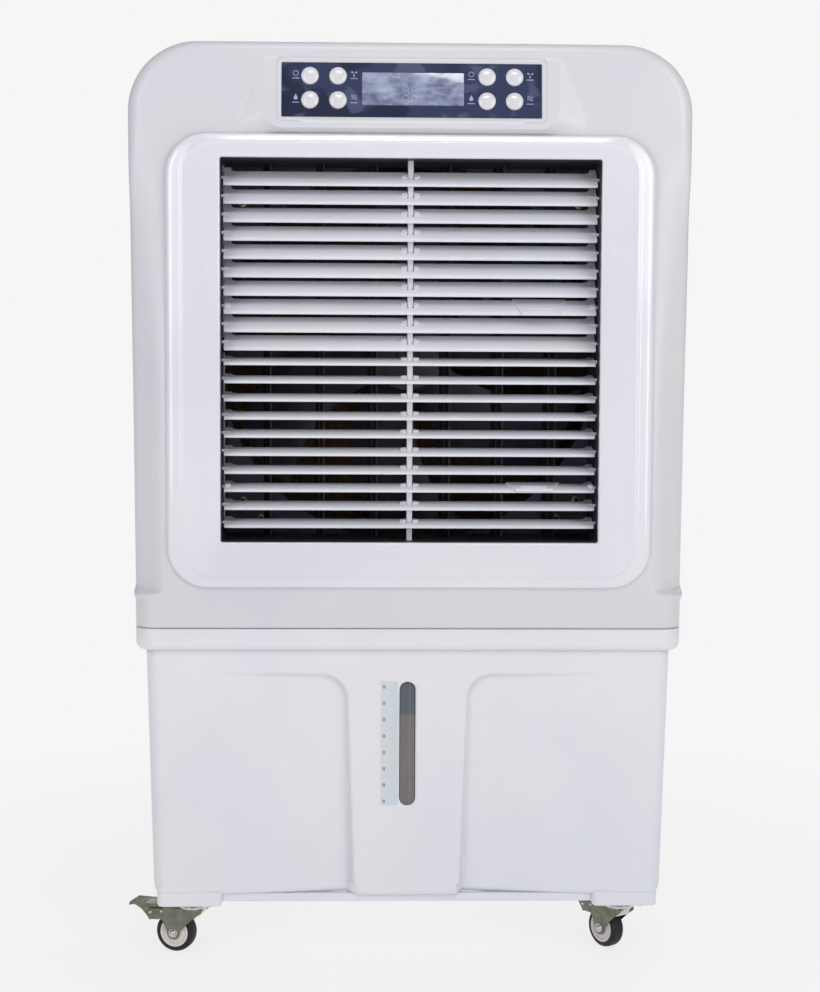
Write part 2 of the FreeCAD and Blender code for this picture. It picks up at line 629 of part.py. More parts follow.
def fan_impeller():
    """Hub with pitched blades on a shaft that runs into the motor."""
    hub = rod("fan_hub", ("0", "-75", "fan_height"), "fan_hub", "60", "Y")
    shaft = rod("fan_shaft", ("0", "-20", "fan_height"), "fan_shaft", "motor_front + 50", "Y")
    root, chord, gauge = number("fan_hub") - 5, number("fan_chord"), number("fan_gauge")
    middle = Vector(0, -number("fan_middle"), number("fan_height"))
    lie = Rotation(Vector(1, 0, 0), number("fan_pitch") + 90.0)
    blades = []
    for i in range(FAN_BLADES):
        blade = doc.addObject("Part::Box", f"fan_blade_{i + 1}")
        bind(blade, Length="fan_tip - fan_hub + 5", Width="fan_chord", Height="fan_gauge")
        turn = Rotation(Vector(0, 1, 0), 360.0 / FAN_BLADES * i)
        corner = (turn * lie).multVec(Vector(root, -chord / 2, -gauge / 2))
        blade.Placement = Placement(corner + middle, turn * lie)
        blades.append(blade)
    reach = rod("fan_sweep", ("0", "-90", "fan_height"), "fan_tip", "90", "Y")
    swept = doc.addObject("Part::MultiCommon", "fan_blades")
    swept.Shapes = [fuse("fan_blade_ring", blades), reach]
    return node("fan_impeller", fuse("fan_impeller", [hub, shaft, swept]))


def fan_motor():
    case = rod("motor_case", ("0", "motor_front", "fan_height"), "motor_radius", "motor_length", "Y")
    bore = rod("motor_bore", ("0", "motor_front - 1", "fan_height"), "fan_shaft + running_fit", "40", "Y")
    tail = rod("motor_cap", ("0", "motor_front + motor_length - 1", "fan_height"), "22", "8", "Y")
    return node("fan_motor", fuse("fan_motor", [cut("motor_body", case, [bore]), tail]))


def shroud_screws():
    screws = []
    for i, (x, z) in enumerate(SHROUD_SCREWS):
        head = rod(f"washer_{i}", (x, "-shroud_front - 1.5", z), "6.35", "1.5", "Y")
        dome = rod(f"screw_head_{i}", (x, "-shroud_front - 3", z), "3.5", "2", "Y")
        shank = rod(f"shank_{i}", (x, "-shroud_front - 1", z), "2", "12", "Y")
        screws.append(fuse(f"screw_{i}", [head, dome, shank]))
    return node("shroud_screws", group("shroud_screws", screws))


# ---------------------------------------------------------------- pad, grille, pump

def cooling_pad():
    pad = box("cooling_pad", ("-pad_half", "pad_front", "pad_low"),
              ("2 * pad_half", "pad_gauge", "pad_high - pad_low"))
    return node("cooling_pad", pad)


def rear_grille():
    """Intake frame with sloping slats and three upright ribs."""
    wide, tall = "(2 * grille_half)", "(grille_high - grille_low)"
    inner = "half_depth + 0.1"
    deep = f"grille_back - ({inner})"
    frame = box("grille_frame", ("-grille_half", inner, "grille_low"), (wide, deep, tall))
    air = box("grille_air", ("-grille_half + 18", "half_depth - 1", "grille_low + 18"),
              (f"{wide} - 36", "30", f"{tall} - 36"))
    pieces = [cut("grille_rim", frame, [air])]
    for i in range(19):
        pieces.append(box(f"slat_{i}", ("-grille_half + 17", inner, f"grille_low + 18 + {i + 1} * 29.2 - 2.5"),
                          (f"{wide} - 34", f"{deep} - 2", "5")))
    for i in (-1, 0, 1):
        pieces.append(box(f"rib_{i + 1}", (f"{i} * grille_half / 2 - 2", inner, "grille_low + 17"),
                          ("4", f"{deep} - 1", f"{tall} - 34")))
    return node("rear_grille", fuse("rear_grille", pieces))


def water_pump():
    """Pump on the tank floor with its riser and the spreader pipe along the pad's upper edge."""
    level = "pad_high - 38"
    case = rod("pump_case", ("250", "60", "tank_base + wall + 0.2"), "34", "70")
    riser = rod("pump_riser", ("250", "60", "tank_base + 60"), "8", f"{level} + 9 - (tank_base + 60)")
    bend = rod("pump_bend", ("250", "60", level), "6", "pad_front - 80", "Y")
    spreader = rod("pump_spreader", ("-257", "pad_front - 20", level), "8", "514", "X")
    return node("water_pump", fuse("water_pump", [case, riser, bend, spreader]))


# ---------------------------------------------------------------- tank

def tank_block(name, inset, base):
    """The tank's drafted body, drawn in by an inset."""
    block = Moulding(name)
    across, deep = f"(tank_half - {inset})", f"(tank_depth - {inset})"
    plan = [(f"-{across}", f"-{deep}"), (across, f"-{deep}"), (across, deep), (f"-{across}", deep)]
    block.pad(block.sketch("XY_Plane", plan, offset="rim_low + 1"), f"rim_low + 1 - ({base})",
              reverse=True, taper="-tank_draft")
    block.fillet(f"tank_corner - {inset}", lambda middle, edge: upright(edge))
    return block


def panel_recess(name, grow, mirrored):
    """Wedge that sinks a front panel beside the column and runs out towards the tank's side."""
    outside, face = -number("tank_depth") - 20, -number("tank_depth") + grow
    slope = math.tan(math.radians(number("tank_draft")))
    top, base = number("recess_top") + grow, number("tank_base") - 30
    fade = number("recess_fade")
    points = []
    for height, inner, sink in ((top, "recess_top_inner", "recess_top_sink"),
                                (base, "recess_low_inner", "recess_low_sink")):
        near = number(inner) - grow
        here = face + (number("rim_low") + 1 - height) * slope
        points += [Vector(near, outside, height), Vector(fade, outside, height), Vector(fade, here, height),
                   Vector(near, here + number(sink), height)]
    faces = [[0, 1, 2, 3], [4, 7, 6, 5], [0, 4, 5, 1], [1, 5, 6, 2], [3, 7, 4, 0], [2, 6, 3], [3, 6, 7]]
    wedge = polyhedron(name, points, faces)
    corner = [edge for edge in wedge.Shape.Edges
              if all(abs(end.Z - top) < 0.1 and end.X < number("recess_top_inner") + 1 for end in edge.Vertexes)]
    shape = wedge.Shape.makeFillet(number("recess_radius") + grow, corner)
    wedge.Shape = shape.mirror(Vector(), Vector(1, 0, 0)) if mirrored else shape
    return wedge


def water_tank():
    rim = Moulding("tank_rim")
    half = "half_base"
    plan = [(f"-{half}", "-half_depth"), (half, "-half_depth"),
            (half, "half_depth"), (f"-{half}", "half_depth")]
    rim.pad(rim.sketch("XY_Plane", plan, offset="rim_low"), "parting - parting_gap - rim_low")
    rim.fillet("corner_radius", lambda middle, edge: upright(edge))
    rim.fillet("tank_edge", lambda middle, edge: middle.z < number("rim_low") + 0.1)
    outer = tank_block("tank_outer", "0", "tank_base")
    outer.fillet("tank_edge", lambda middle, edge: middle.z < number("tank_base") + 0.1)
    across, deep = "(half_base - wall - 0.6)", "(half_depth - wall - 0.6)"
    base, rise = "parting - 12", "26"
    lips = [box("lip_front", ("-285", f"-{deep}", base), ("570", "wall", rise)),
            box("lip_rear", ("-285", f"{deep} - wall", base), ("570", "wall", rise)),
            box("lip_left", (f"-{across}", "-170", base), ("wall", "340", rise)),
            box("lip_right", (f"{across} - wall", "-170", base), ("wall", "340", rise))]
    recesses = [panel_recess("recess_left", 0.0, True), panel_recess("recess_right", 0.0, False)]
    swells = [panel_recess("swell_left", number("wall"), True), panel_recess("swell_right", number("wall"), False)]
    body = cut("tank_solid", outer.body, recesses)
    hollow = cut("tank_hollow", tank_block("tank_inner", "wall", "tank_base + wall").body, swells)
    throat = box("tank_throat", ("-tank_half + wall", "-tank_depth + wall", "rim_low - 1"),
                 ("2 * (tank_half - wall)", "2 * (tank_depth - wall)", "60"))
    extras = [rim.body, body] + lips
    for tag, across in (("left", "-foot_outer"), ("right", "foot_inner")):
        for end, start in (("front", "-foot_front"), ("rear", "foot_front - foot_length")):
            extras.append(foot_pad(f"foot_{end}_{tag}", across, start))
    extras.append(box("front_rail", ("-foot_inner - 1", "-foot_front + 12", "foot_base + 1.3"),
                      ("2 * foot_inner + 2", "10", "tank_base - foot_base")))
    extras.append(box("rear_rail", ("-foot_inner - 1", "foot_front - 22", "foot_base + 1.3"),
                      ("2 * foot_inner + 2", "10", "tank_base - foot_base")))
    spouts, bores = [], []
    for tag, x, height in (("drain", "-spout_x", "drain_height"), ("inlet", "spout_x", "inlet_height")):
        spouts.append(rod(f"{tag}_spout", (x, "tank_depth - 8", height), "spout_radius",
                          "collar_face - tank_depth + 8 + spout_length", "Y"))
        spouts.append(rod(f"{tag}_collar", (x, "tank_depth - 8", height), "collar_radius",
                          "collar_face - tank_depth + 8", "Y"))
        bores.append(rod(f"{tag}_bore", (x, "tank_depth - 20", height), "spout_bore", "60", "Y"))
    window = sight_slot("sight_hole", "0.2", "-5", "20")
    return node("water_tank", cut("water_tank", fuse("tank_whole", extras + spouts),
                                  [hollow, throat, window] + bores))


def foot_pad(name, across, start):
    """Foot pad under a corner of the tank, with the seat of a caster plate in its underside."""
    pad = Moulding(name)
    width = "(foot_outer - foot_inner)"
    plan = [(across, start), (f"{across} + {width}", start), (f"{across} + {width}", f"{start} + foot_length"),
            (across, f"{start} + foot_length")]
    pad.pad(pad.sketch("XY_Plane", plan, offset="foot_base"), "tank_base - foot_base + 2")
    pad.fillet("6", lambda middle, edge: upright(edge))
    hand = "-" if across.startswith("-") else ""
    rear = "" if start.startswith("foot") else "-"
    x, y, r = f"{hand}caster_x", f"{rear}caster_y", "(plate_side / 2 + 0.3)"
    seat = [(f"{x} - {r}", f"{y} - {r}"), (f"{x} + {r}", f"{y} - {r}"), (f"{x} + {r}", f"{y} + {r}"),
            (f"{x} - {r}", f"{y} + {r}")]
    pad.pocket(pad.sketch("XY_Plane", seat, offset="foot_base - 1"), "plate_inset + 1", reverse=True)
    return pad.body


def sight_slot(name, grow, sink, deep):
    """Upright slot with round ends, laid on the tank's drafted front at a depth below its face."""
    slot = Moulding(name)
    half = f"(sight_half + {grow})"
    level = "rim_low - 1"
    low, high = f"(sight_low + sight_half - ({level}))", f"(sight_high - sight_half - ({level}))"
    outline = [(f"sight_x - {half}", low), (f"sight_x + {half}", low), (f"sight_x + {half}", high),
               (f"sight_x - {half}", high)]
    offset = f"-({sink})"
    slot.pad(slot.sketch("XZ_Plane", outline, offset=offset), deep, reverse=True)
    for height in (low, high):
        slot.pad(slot.sketch("XZ_Plane", circles=[("sight_x", height, half)], offset=offset), deep, reverse=True)
    return place(slot.body, "0", "-tank_depth", level, (1, 0, 0), "tank_draft")


def sight_window():
    return node("sight_window", sight_slot("sight_window", "0", "0.8", "6"))


# ---------------------------------------------------------------- casters

# Each caster: name, side, end, heading of its fork about +Z, and whether it has a brake pedal.
CASTERS = (("front_left", "-", "-", -18.0, True), ("front_right", "", "-", -54.5, True),
           ("rear_left", "-", "", 12.0, False), ("rear_right", "", "", -35.0, False))


def at_caster(thing, hand, end, heading):
    """Stand an object, built about the swivel axis, on its corner and turn it to its heading."""
    return place(thing, f"{hand}caster_x", f"{end}caster_y", "0", (0, 0, 1), str(heading))


def caster_plates():
    plates = []
    for name, hand, end, _, _ in CASTERS:
        half = "plate_side / 2"
        plate = box("plate_" + name, (f"-{half}", f"-{half}", "foot_base + plate_inset - plate_gauge"),
                    ("plate_side", "plate_side", "plate_gauge"))
        race = rod("race_" + name, ("0", "0", "63.3"), "race_radius", "foot_base + plate_inset - 64.3")
        pin = rod("kingpin_" + name, ("0", "0", "55"), "kingpin_radius", "10")
        head = rod("kingpin_head_" + name, ("0", "0", "52.5"), "7.5", "3")
        plates.append(at_caster(fuse("top_plate_" + name, [plate, race, pin, head]), hand, end, 0.0))
    return node("caster_plates", group("caster_plates", plates))


def caster_yoke(name, hand, end, heading, braked):
    """Pressed fork: two legs under a bridge, and the race cup on top of it."""
    legs = Moulding("yoke_legs_" + name)
    lug = [("-38", "55"), ("-57", "54"), ("-57", "48"), ("-50", "43"), ("-38", "40")]
    outline = [("-36", "yoke_roof")] + (lug if braked else [("-34", "yoke_roof - 1.8")])
    outline += [("-trail - 9", "wheel_radius + 3"), ("-trail - 7", "wheel_radius - 6"),
                ("-trail", "wheel_radius - 9"), ("-trail + 7", "wheel_radius - 6"),
                ("-trail + 9", "wheel_radius + 3"), ("-6", "36"), ("8", "48"),
                ("yoke_front", "yoke_roof - 2.8"), ("yoke_front", "yoke_roof")]
    legs.pad(legs.sketch("XZ_Plane", outline), "2 * (fork_inside + fork_gauge)", middle=True)
    soffit = "yoke_roof - fork_gauge"
    inside = [("-70", "0"), ("30", "0"), ("30", soffit), ("-70", soffit)]
    legs.pocket(legs.sketch("XZ_Plane", inside), "2 * fork_inside", middle=True)
    cup = rod("race_cup_" + name, ("0", "0", "yoke_roof - 1.9"), "cup_radius", "6.8")
    bore = rod("kingpin_bore_" + name, ("0", "0", "40"), "kingpin_radius + running_fit", "30")
    front = box("yoke_front_" + name, ("yoke_front - 4", "-fork_inside - 1", "yoke_roof - 5.8"),
                ("4", "2 * fork_inside + 2", "5"))
    axle = rod("axle_" + name, ("-trail", "-fork_inside - fork_gauge - 2.5", "wheel_radius"), "axle_radius",
               "2 * (fork_inside + fork_gauge + 2.5)", "Y")
    nuts = [rod(f"axle_nut_{tag}_{name}", ("-trail", y, "wheel_radius"), "5.5", "3", "Y")
            for tag, y in (("near", "-fork_inside - fork_gauge - 2.9"), ("far", "fork_inside + fork_gauge - 0.1"))]
    pieces = [legs.body, cup, front, axle] + nuts
    if braked:
        pieces.append(rod("pedal_pin_" + name, ("pedal_x", "-fork_inside - fork_gauge - 0.8", "pedal_height"),
                          "2", "2 * (fork_inside + fork_gauge + 0.8)", "Y"))
    return node("caster_yoke_" + name,
                at_caster(cut("caster_yoke_" + name, fuse("yoke_" + name, pieces), [bore]), hand, end, heading))


def caster_wheel(name, hand, end, heading):
    """Hub that turns on the axle, with a tyre moulded round it."""
    half = "(wheel_width / 2)"
    bore, rim = "axle_radius + running_fit", "wheel_radius - 6"
    hub = Moulding("hub_" + name)
    section = [(bore, f"-{half}"), (rim, f"-{half}"), (rim, half), (bore, half)]
    hub.revolve(hub.sketch("XY_Plane", section), "V_Axis")
    tyre = Moulding("tyre_" + name)
    section = [(rim, f"-{half}"), ("wheel_radius - 3.5", f"-{half}"), ("wheel_radius - 1", f"-{half} + 1.6"),
               ("wheel_radius", f"-{half} + 5"), ("wheel_radius", f"{half} - 5"),
               ("wheel_radius - 1", f"{half} - 1.6"), ("wheel_radius - 3.5", half), (rim, half)]
    tyre.revolve(tyre.sketch("XY_Plane", section), "V_Axis")
    parts = [place(ring.body, "-trail", "0", "wheel_radius") for ring in (hub, tyre)]
    return node("caster_wheel_" + name, at_caster(group("caster_wheel_" + name, parts), hand, end, heading))


def brake_pedal(name, hand, end, heading):
    """Foot plate on two cheeks that turn about the pedal pin, with the brake shoe at their lower tip."""
    cheeks = Moulding("pedal_cheeks_" + name)
    underside = "pedal_top - pedal_gauge"
    outline = [("pedal_tip", "pedal_top"), ("pedal_tip", "56"), ("-76", "56"), ("-68", "52"), ("-61", "45"),
               ("-55.5", "37.3"), ("-49", "43"), ("-47.5", "52"), ("pedal_root", underside),
               ("pedal_root", "pedal_top")]
    cheeks.pad(cheeks.sketch("XZ_Plane", outline), "19.6", middle=True)
    gap = [("-90", "30"), ("-40", "30"), ("-40", underside), ("-90", underside)]
    cheeks.pocket(cheeks.sketch("XZ_Plane", gap), "16", middle=True)
    plate = box("pedal_plate_" + name, ("pedal_tip", "-pedal_width / 2", underside),
                ("pedal_root - pedal_tip", "pedal_width", "pedal_gauge"))
    lip = box("pedal_lip_" + name, ("pedal_tip", "-pedal_width / 2", "56"), ("pedal_gauge", "pedal_width", "4"))
    shoe = box("brake_shoe_" + name, ("-56", "-9", "39"), ("11", "18", "3"))
    bore = rod("pedal_bore_" + name, ("pedal_x", "-15", "pedal_height"), "2 + running_fit", "30", "Y")
    pedal = cut("brake_pedal_" + name, fuse("pedal_" + name, [cheeks.body, plate, lip, shoe]), [bore])
    return node("brake_pedal_" + name, at_caster(pedal, hand, end, heading))


# ---------------------------------------------------------------- the whole cooler

def build():
    front_housing()
    rear_housing()
    control_panel()
    buttons()
    louvre_frame()
    for index in BLADES:
        louvre_blade(index)
    link_bar("link_bar_upper", 1, LAST_UPPER)
    link_bar("link_bar_lower", LAST_UPPER + 1, BLADES[-1])
    for index, across in enumerate(VANE_PLACES, start=1):
        swing_vane(index, across)
    fan_shroud()
    fan_impeller()
    fan_motor()
    shroud_screws()
    cooling_pad()
    rear_grille()
    water_pump()
    water_tank()
    sight_window()
    caster_plates()
    for name, hand, end, heading, braked in CASTERS:
        caster_yoke(name, hand, end, heading, braked)
        caster_wheel(name, hand, end, heading)
        if braked:
            brake_pedal(name, hand, end, heading)


def check():
    """Stop on any feature that failed and on any sub-part without a valid shape."""
    failed = [thing.Name for thing in doc.Objects if {"Invalid", "Error"} & set(thing.State)]
    if failed:
        raise SystemExit("features that failed: " + ", ".join(failed))
    for thing in NODES:
        if thing.Shape.isNull() or not thing.Shape.isValid() or not thing.Shape.Solids:
            raise SystemExit("no valid shape: " + thing.Label)


build()
doc.recompute()
check()
os.makedirs("parts", exist_ok=True)
for thing in NODES:
    thing.Shape.exportStep(f"parts/{thing.Label}.step")
    print(f"{thing.Label:24s} solids {len(thing.Shape.Solids):2d} volume {thing.Shape.Volume / 1000:9.1f} cm3")
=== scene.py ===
import math

import bmesh
import bpy
import numpy as np
from mathutils import Matrix, Vector
from mathutils.geometry import delaunay_2d_cdt


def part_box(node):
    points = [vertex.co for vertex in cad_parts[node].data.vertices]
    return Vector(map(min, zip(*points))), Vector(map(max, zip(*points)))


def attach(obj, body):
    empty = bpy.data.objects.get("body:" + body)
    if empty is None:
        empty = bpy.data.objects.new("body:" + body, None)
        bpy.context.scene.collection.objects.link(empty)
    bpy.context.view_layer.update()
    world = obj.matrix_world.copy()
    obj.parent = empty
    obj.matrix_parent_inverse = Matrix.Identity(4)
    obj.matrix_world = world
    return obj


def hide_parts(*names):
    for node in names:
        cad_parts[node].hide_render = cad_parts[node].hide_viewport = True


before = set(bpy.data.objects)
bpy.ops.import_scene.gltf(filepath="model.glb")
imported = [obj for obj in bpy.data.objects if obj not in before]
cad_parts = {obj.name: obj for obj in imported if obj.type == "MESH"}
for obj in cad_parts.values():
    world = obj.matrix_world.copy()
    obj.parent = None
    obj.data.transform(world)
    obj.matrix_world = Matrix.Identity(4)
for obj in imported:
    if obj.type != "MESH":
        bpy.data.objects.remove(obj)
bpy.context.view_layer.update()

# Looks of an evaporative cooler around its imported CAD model. Shapes are worked out in millimetres and
# turned into metres when a piece is made. +X is the viewer's right, the front faces -Y.

MM = 0.001


def span(node):
    """Lowest and highest corner of a CAD node, in millimetres."""
    low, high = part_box(node)
    return [c / MM for c in low], [c / MM for c in high]


# ---------------------------------------------------------------- driving dimensions

# Housing: where the tank's rim ends in sight, the half width that the drafted sides reach at the top, the
# rounding of the two top corners, the bevelled side strips, and the border of a shell's lofted face.
(_, HOUSE_FRONT, HOUSE_FOOT), (_, SEAM, HOUSE_TOP) = span("front_housing")
HALF_BASE, BACK, RIM_TOP, PARTING = 333.5, 215.0, 411.4, 415.4
HOUSE_FOOT += PARTING - RIM_TOP
HALF_CREST, SHOULDER, WALL = 339.5, 82.0, 2.6
STRIP_X, STRIP_BASE, STRIP_SLOPE = 297.0, 458.0, 0.7
RING = 14.0

# Control pod: its leaning face, the lower edges of the face and of its flare, the panel in it, the buttons.
POD_TOP, POD_BASE, POD_SKIRT, POD_TOE = 1104.0, 1021.0, 1014.5, 1009.5
POD_X, POD_FLARE, POD_PROUD = 175.0, 206.0, 11.0
LEAN = math.atan(POD_PROUD / (POD_TOP - POD_BASE))
POD_MIDDLE = (POD_TOP + POD_BASE) / 2
PANEL_X, PANEL_RISE, PANEL_DROP, PANEL_SINK = 160.0, 36.0, 40.5, 2.5
LENS_FACE, PRINT_GAUGE = -PANEL_SINK - 0.52, 0.12
BUTTON_X, BUTTON_ROW, BUTTON_R = (-120.7, -87.5, 89.3, 122.0), 14.5, 10.5

# Louvres: the frame and its opening, the blades' axis and pitch, how each bank is tilted, the two thumb tabs.
(BEZEL_X, BEZEL_FRONT, BEZEL_LOW), (_, DUCT_BACK, BEZEL_HIGH) = span("louvre_frame")
BEZEL_X = -BEZEL_X
OPEN_X, OPEN_LOW, OPEN_HIGH = 227.5, 521.5, 980.3
BLADE_AXIS, BLADE_HALF, BLADES = -190.0, 225.0, range(1, 21)
BLADE_TOP, BLADE_PITCH = 959.0, 21.9
TILT_UPPER, TILT_LOWER, LAST_UPPER = 37.0, 13.0, 10
TABBED = {8: 156.6, 18: 151.1}
BLADE_SECTION = [(13.5, 0.6), (5, 1.5), (-4, 1.4), (-9.5, 0.9), (-12.4, 0.2), (-13.3, -0.7), (-13.5, -2.5),
                 (-12.9, -3.1), (-12.1, -2.8), (-11, -1.4), (-4, -0.3), (5, -0.3), (13.5, -0.7)]
FAN_HUB, FAN_TIP = 49.0, 228.0

# Tank: its drafted body, the two sunk front panels, the sight window and its label, the rim and the feet.
TANK_HALF, TANK_DEPTH, TANK_BASE, TANK_TOP = 321.0, 205.0, 80.0, 389.0
DRAFT = math.tan(math.radians(1.32))
RECESS_TOP, RECESS_FADE = 358.0, 262.0
SIGHT_X, SIGHT_HALF, SIGHT_LOW, SIGHT_HIGH = -1.3, 9.5, 195.0, 348.7
SIGHT_LINE = (307.0, 310.0)                   # where the sight window's tint changes
LABEL_X, LABEL_Z, SCALE_ZERO, SCALE_STEP, SCALE_MARKS = -23.3, 272.5, 200.0, 20.4, 8
RIM_LOW, FOOT_BASE = 388.0, 66.4

# Casters: swivel axes, wheel, fork, and for each its side, its heading in degrees and whether it has a brake.
CASTER_X, CASTER_Y = 267.0, 164.0
TRAIL, WHEEL_R, WHEEL_W = 23.0, 25.0, 18.4
FORK_IN, FORK_GAUGE, ROOF = 10.2, 2.0, 57.8
CASTERS = (("front_left", -1, -1, -18.0, True), ("front_right", 1, -1, -54.5, True),
           ("rear_left", -1, 1, 12.0, False), ("rear_right", 1, 1, -35.0, False))


# ---------------------------------------------------------------- mesh helpers

def smooth(t):
    t = np.clip(t, 0.0, 1.0)
    return t * t * (3 - 2 * t)


def soft_plus(u, width):
    """Positive part of u with a rounded corner."""
    return (u + np.sqrt(u * u + width * width)) / 2


def soft_min(a, b, width):
    return (a + b - np.sqrt((a - b) ** 2 + width * width)) / 2


def thicken(thing, depth):
    """Give an open skin a wall, inwards."""
    wall = thing.modifiers.new("wall", "SOLIDIFY")
    wall.thickness = depth * MM
    wall.offset = -1
    return thing


class Shape:
    """Points and faces that are gathered before they become a piece."""

    def __init__(self):
        self.points = []
        self.faces = []
        self.marks = []

    def add(self, points, faces, mark=0):
        base = len(self.points)
        self.points += [tuple(p) for p in points]
        self.faces += [[base + i for i in face] for face in faces]
        self.marks += [mark] * len(faces)
        return self

    def loft(self, rings, place=None, closed=True, caps=True, mark=0, wrap=False):
        """Skin over rings of equal length, in a local frame; wrap joins the last ring to the first."""
        count, rows = len(rings[0]), len(rings)
        faces = []
        for r in range(rows if wrap else rows - 1):
            low, high = r * count, (r + 1) % rows * count
            for i in range(count if closed else count - 1):
                after = (i + 1) % count
                faces.append([low + i, low + after, high + after, high + i])
        if caps and closed and not wrap:
            faces.append(list(range(count))[::-1])
            faces.append([(rows - 1) * count + i for i in range(count)])
        points = [p for ring in rings for p in ring]
        return self.add([place @ Vector(p) for p in points] if place is not None else points, faces, mark)

    def lathe(self, profile, place, sides, mark=0, ring=False):
        """Turn a profile of (radius, height) about the local Z axis; a ring's profile is closed on itself."""
        rings = [circle(r, h, sides) for r, h in profile]
        return self.loft(rings, place, mark=mark, wrap=ring)

    def slab(self, outline, thickness, place):
        """Plate from an outline in the local XY plane, from height 0 to its thickness."""
        return self.loft([[(x, y, h) for x, y in outline] for h in (0.0, thickness)], place)

    def pressed(self, outline, sections, place):
        """Plate from an outline in the local XZ plane; sections are its (inset, y) across the gauge."""
        return self.loft([[(x, y, z) for x, z in (rounded_by(outline, -inset) if inset else outline)]
                          for inset, y in sections], place)

    def block(self, low, high, radius, place=None):
        """Box with rounded edges: a stack of rounded rectangles."""
        (x0, y0, z0), (x1, y1, z1) = low, high
        rings, steps = [], 3
        for end, base, hand in ((0, z0, 1), (1, z1, -1)):
            bends = [math.pi / 2 * k / steps for k in range(steps + 1)]
            for bend in bends if end == 0 else bends[::-1]:
                inset = radius * (1 - math.sin(bend))
                height = base + hand * radius * (1 - math.cos(bend))
                ring = rounded([(x0 + inset, y0 + inset), (x1 - inset, y0 + inset), (x1 - inset, y1 - inset),
                                (x0 + inset, y1 - inset)], max(radius - inset, 0.05), arc=90 / steps)
                rings.append([(x, y, height) for x, y in ring])
        return self.loft(rings, place)

    def make(self, name, material, body="cabinet", slot=None, stands_for=(), angle=32.0):
        """Make a mesh piece, in metres, and let it ride on a CAD body."""
        mesh = bpy.data.meshes.new(name)
        mesh.from_pydata([tuple(float(c) * MM for c in p) for p in self.points], [],
                         [list(map(int, face)) for face in self.faces])
        for entry in material if isinstance(material, list) else [material]:
            mesh.materials.append(entry)
        mesh.polygons.foreach_set("material_index", self.marks)
        tool = bmesh.new()
        tool.from_mesh(mesh)
        bmesh.ops.remove_doubles(tool, verts=tool.verts, dist=0.00001)
        bmesh.ops.dissolve_degenerate(tool, edges=tool.edges, dist=0.000001)
        bmesh.ops.recalc_face_normals(tool, faces=tool.faces)
        tool.to_mesh(mesh)
        tool.free()
        mesh.polygons.foreach_set("use_smooth", [True] * len(mesh.polygons))
        mesh.set_sharp_from_angle(angle=math.radians(angle))
        thing = bpy.data.objects.new(name, mesh)
        bpy.context.scene.collection.objects.link(thing)
        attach(thing, body)
        if stands_for:
            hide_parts(*stands_for)
        return thing


def seat(x, y, z, quarters=1, axis="X"):
    """Frame at a point, turned by quarter turns about an axis."""
    return Matrix.Translation((x, y, z)) @ Matrix.Rotation(quarters * math.pi / 2, 4, axis)


def circle(radius, height, sides):
    turns = [math.tau * i / sides for i in range(sides)]
    return [(radius * math.cos(t), radius * math.sin(t), height) for t in turns]


def rounded(corners, radii, step=None, arc=9.0, closed=True):
    """Outline through corners, each rounded to its radius; straight runs are divided at a step if given."""
    count = len(corners)
    radii = radii if isinstance(radii, (list, tuple)) else [radii] * count
    path = []
    for i, corner in enumerate(corners):
        here = np.array(corner, float)
        if radii[i] <= 0 or (not closed and i in (0, count - 1)):
            path.append(here)
            continue
        before, after = (np.array(corners[(i + k) % count], float) - here for k in (-1, 1))
        before, after = before / np.linalg.norm(before), after / np.linalg.norm(after)
        opening = math.acos(np.clip(before @ after, -1, 1))
        middle = here + (before + after) / np.linalg.norm(before + after) * radii[i] / math.sin(opening / 2)
        first = here + before * radii[i] / math.tan(opening / 2) - middle
        turn = math.pi - opening
        hand = -1.0 if before[0] * after[1] - before[1] * after[0] > 0 else 1.0
        steps = max(1, math.ceil(math.degrees(turn) / arc - 1e-6))
        for k in range(steps + 1):
            a = hand * turn * k / steps
            path.append(middle + np.array((first[0] * math.cos(a) - first[1] * math.sin(a),
                                           first[0] * math.sin(a) + first[1] * math.cos(a))))
    if step:
        dense = []
        for i, p in enumerate(path):
            after = path[(i + 1) % len(path)]
            dense.append(p)
            length = np.linalg.norm(after - p)
            if (closed or i < len(path) - 1) and length > 1.5 * step:
                pieces = round(length / step)
                dense += [p + (after - p) * k / pieces for k in range(1, pieces)]
        path = dense
    return [tuple(p) for p in path]


def frame_loop(half_x, low, high, radius, corner=12, side=16):
    """Rounded rectangle with the same number of points whatever its size, as (x, z)."""
    loop = []
    for cx, cz, start in ((half_x - radius, high - radius, 0), (-half_x + radius, high - radius, 90),
                          (-half_x + radius, low + radius, 180), (half_x - radius, low + radius, 270)):
        for k in range(corner + 1):
            a = math.radians(start + 90 * k / corner)
            loop.append((cx + radius * math.cos(a), cz + radius * math.sin(a)))
    full = []
    for i, p in enumerate(loop):
        full.append(p)
        if (i + 1) % (corner + 1) == 0:
            q = loop[(i + 1) % len(loop)]
            full += [between(p, q, k / side) for k in range(1, side)]
    return full


def between(p, q, share):
    return p[0] + (q[0] - p[0]) * share, p[1] + (q[1] - p[1]) * share


def inside(points, loop):
    """True for the points that lie inside a closed loop."""
    x, z = points[:, 0], points[:, 1]
    hit = np.zeros(len(points), bool)
    for (x0, z0), (x1, z1) in zip(loop, loop[1:] + loop[:1]):
        crosses = (z0 > z) != (z1 > z)
        with np.errstate(divide="ignore", invalid="ignore"):
            hit ^= crosses & (x < (x1 - x0) * (z - z0) / (z1 - z0) + x0)
    return hit


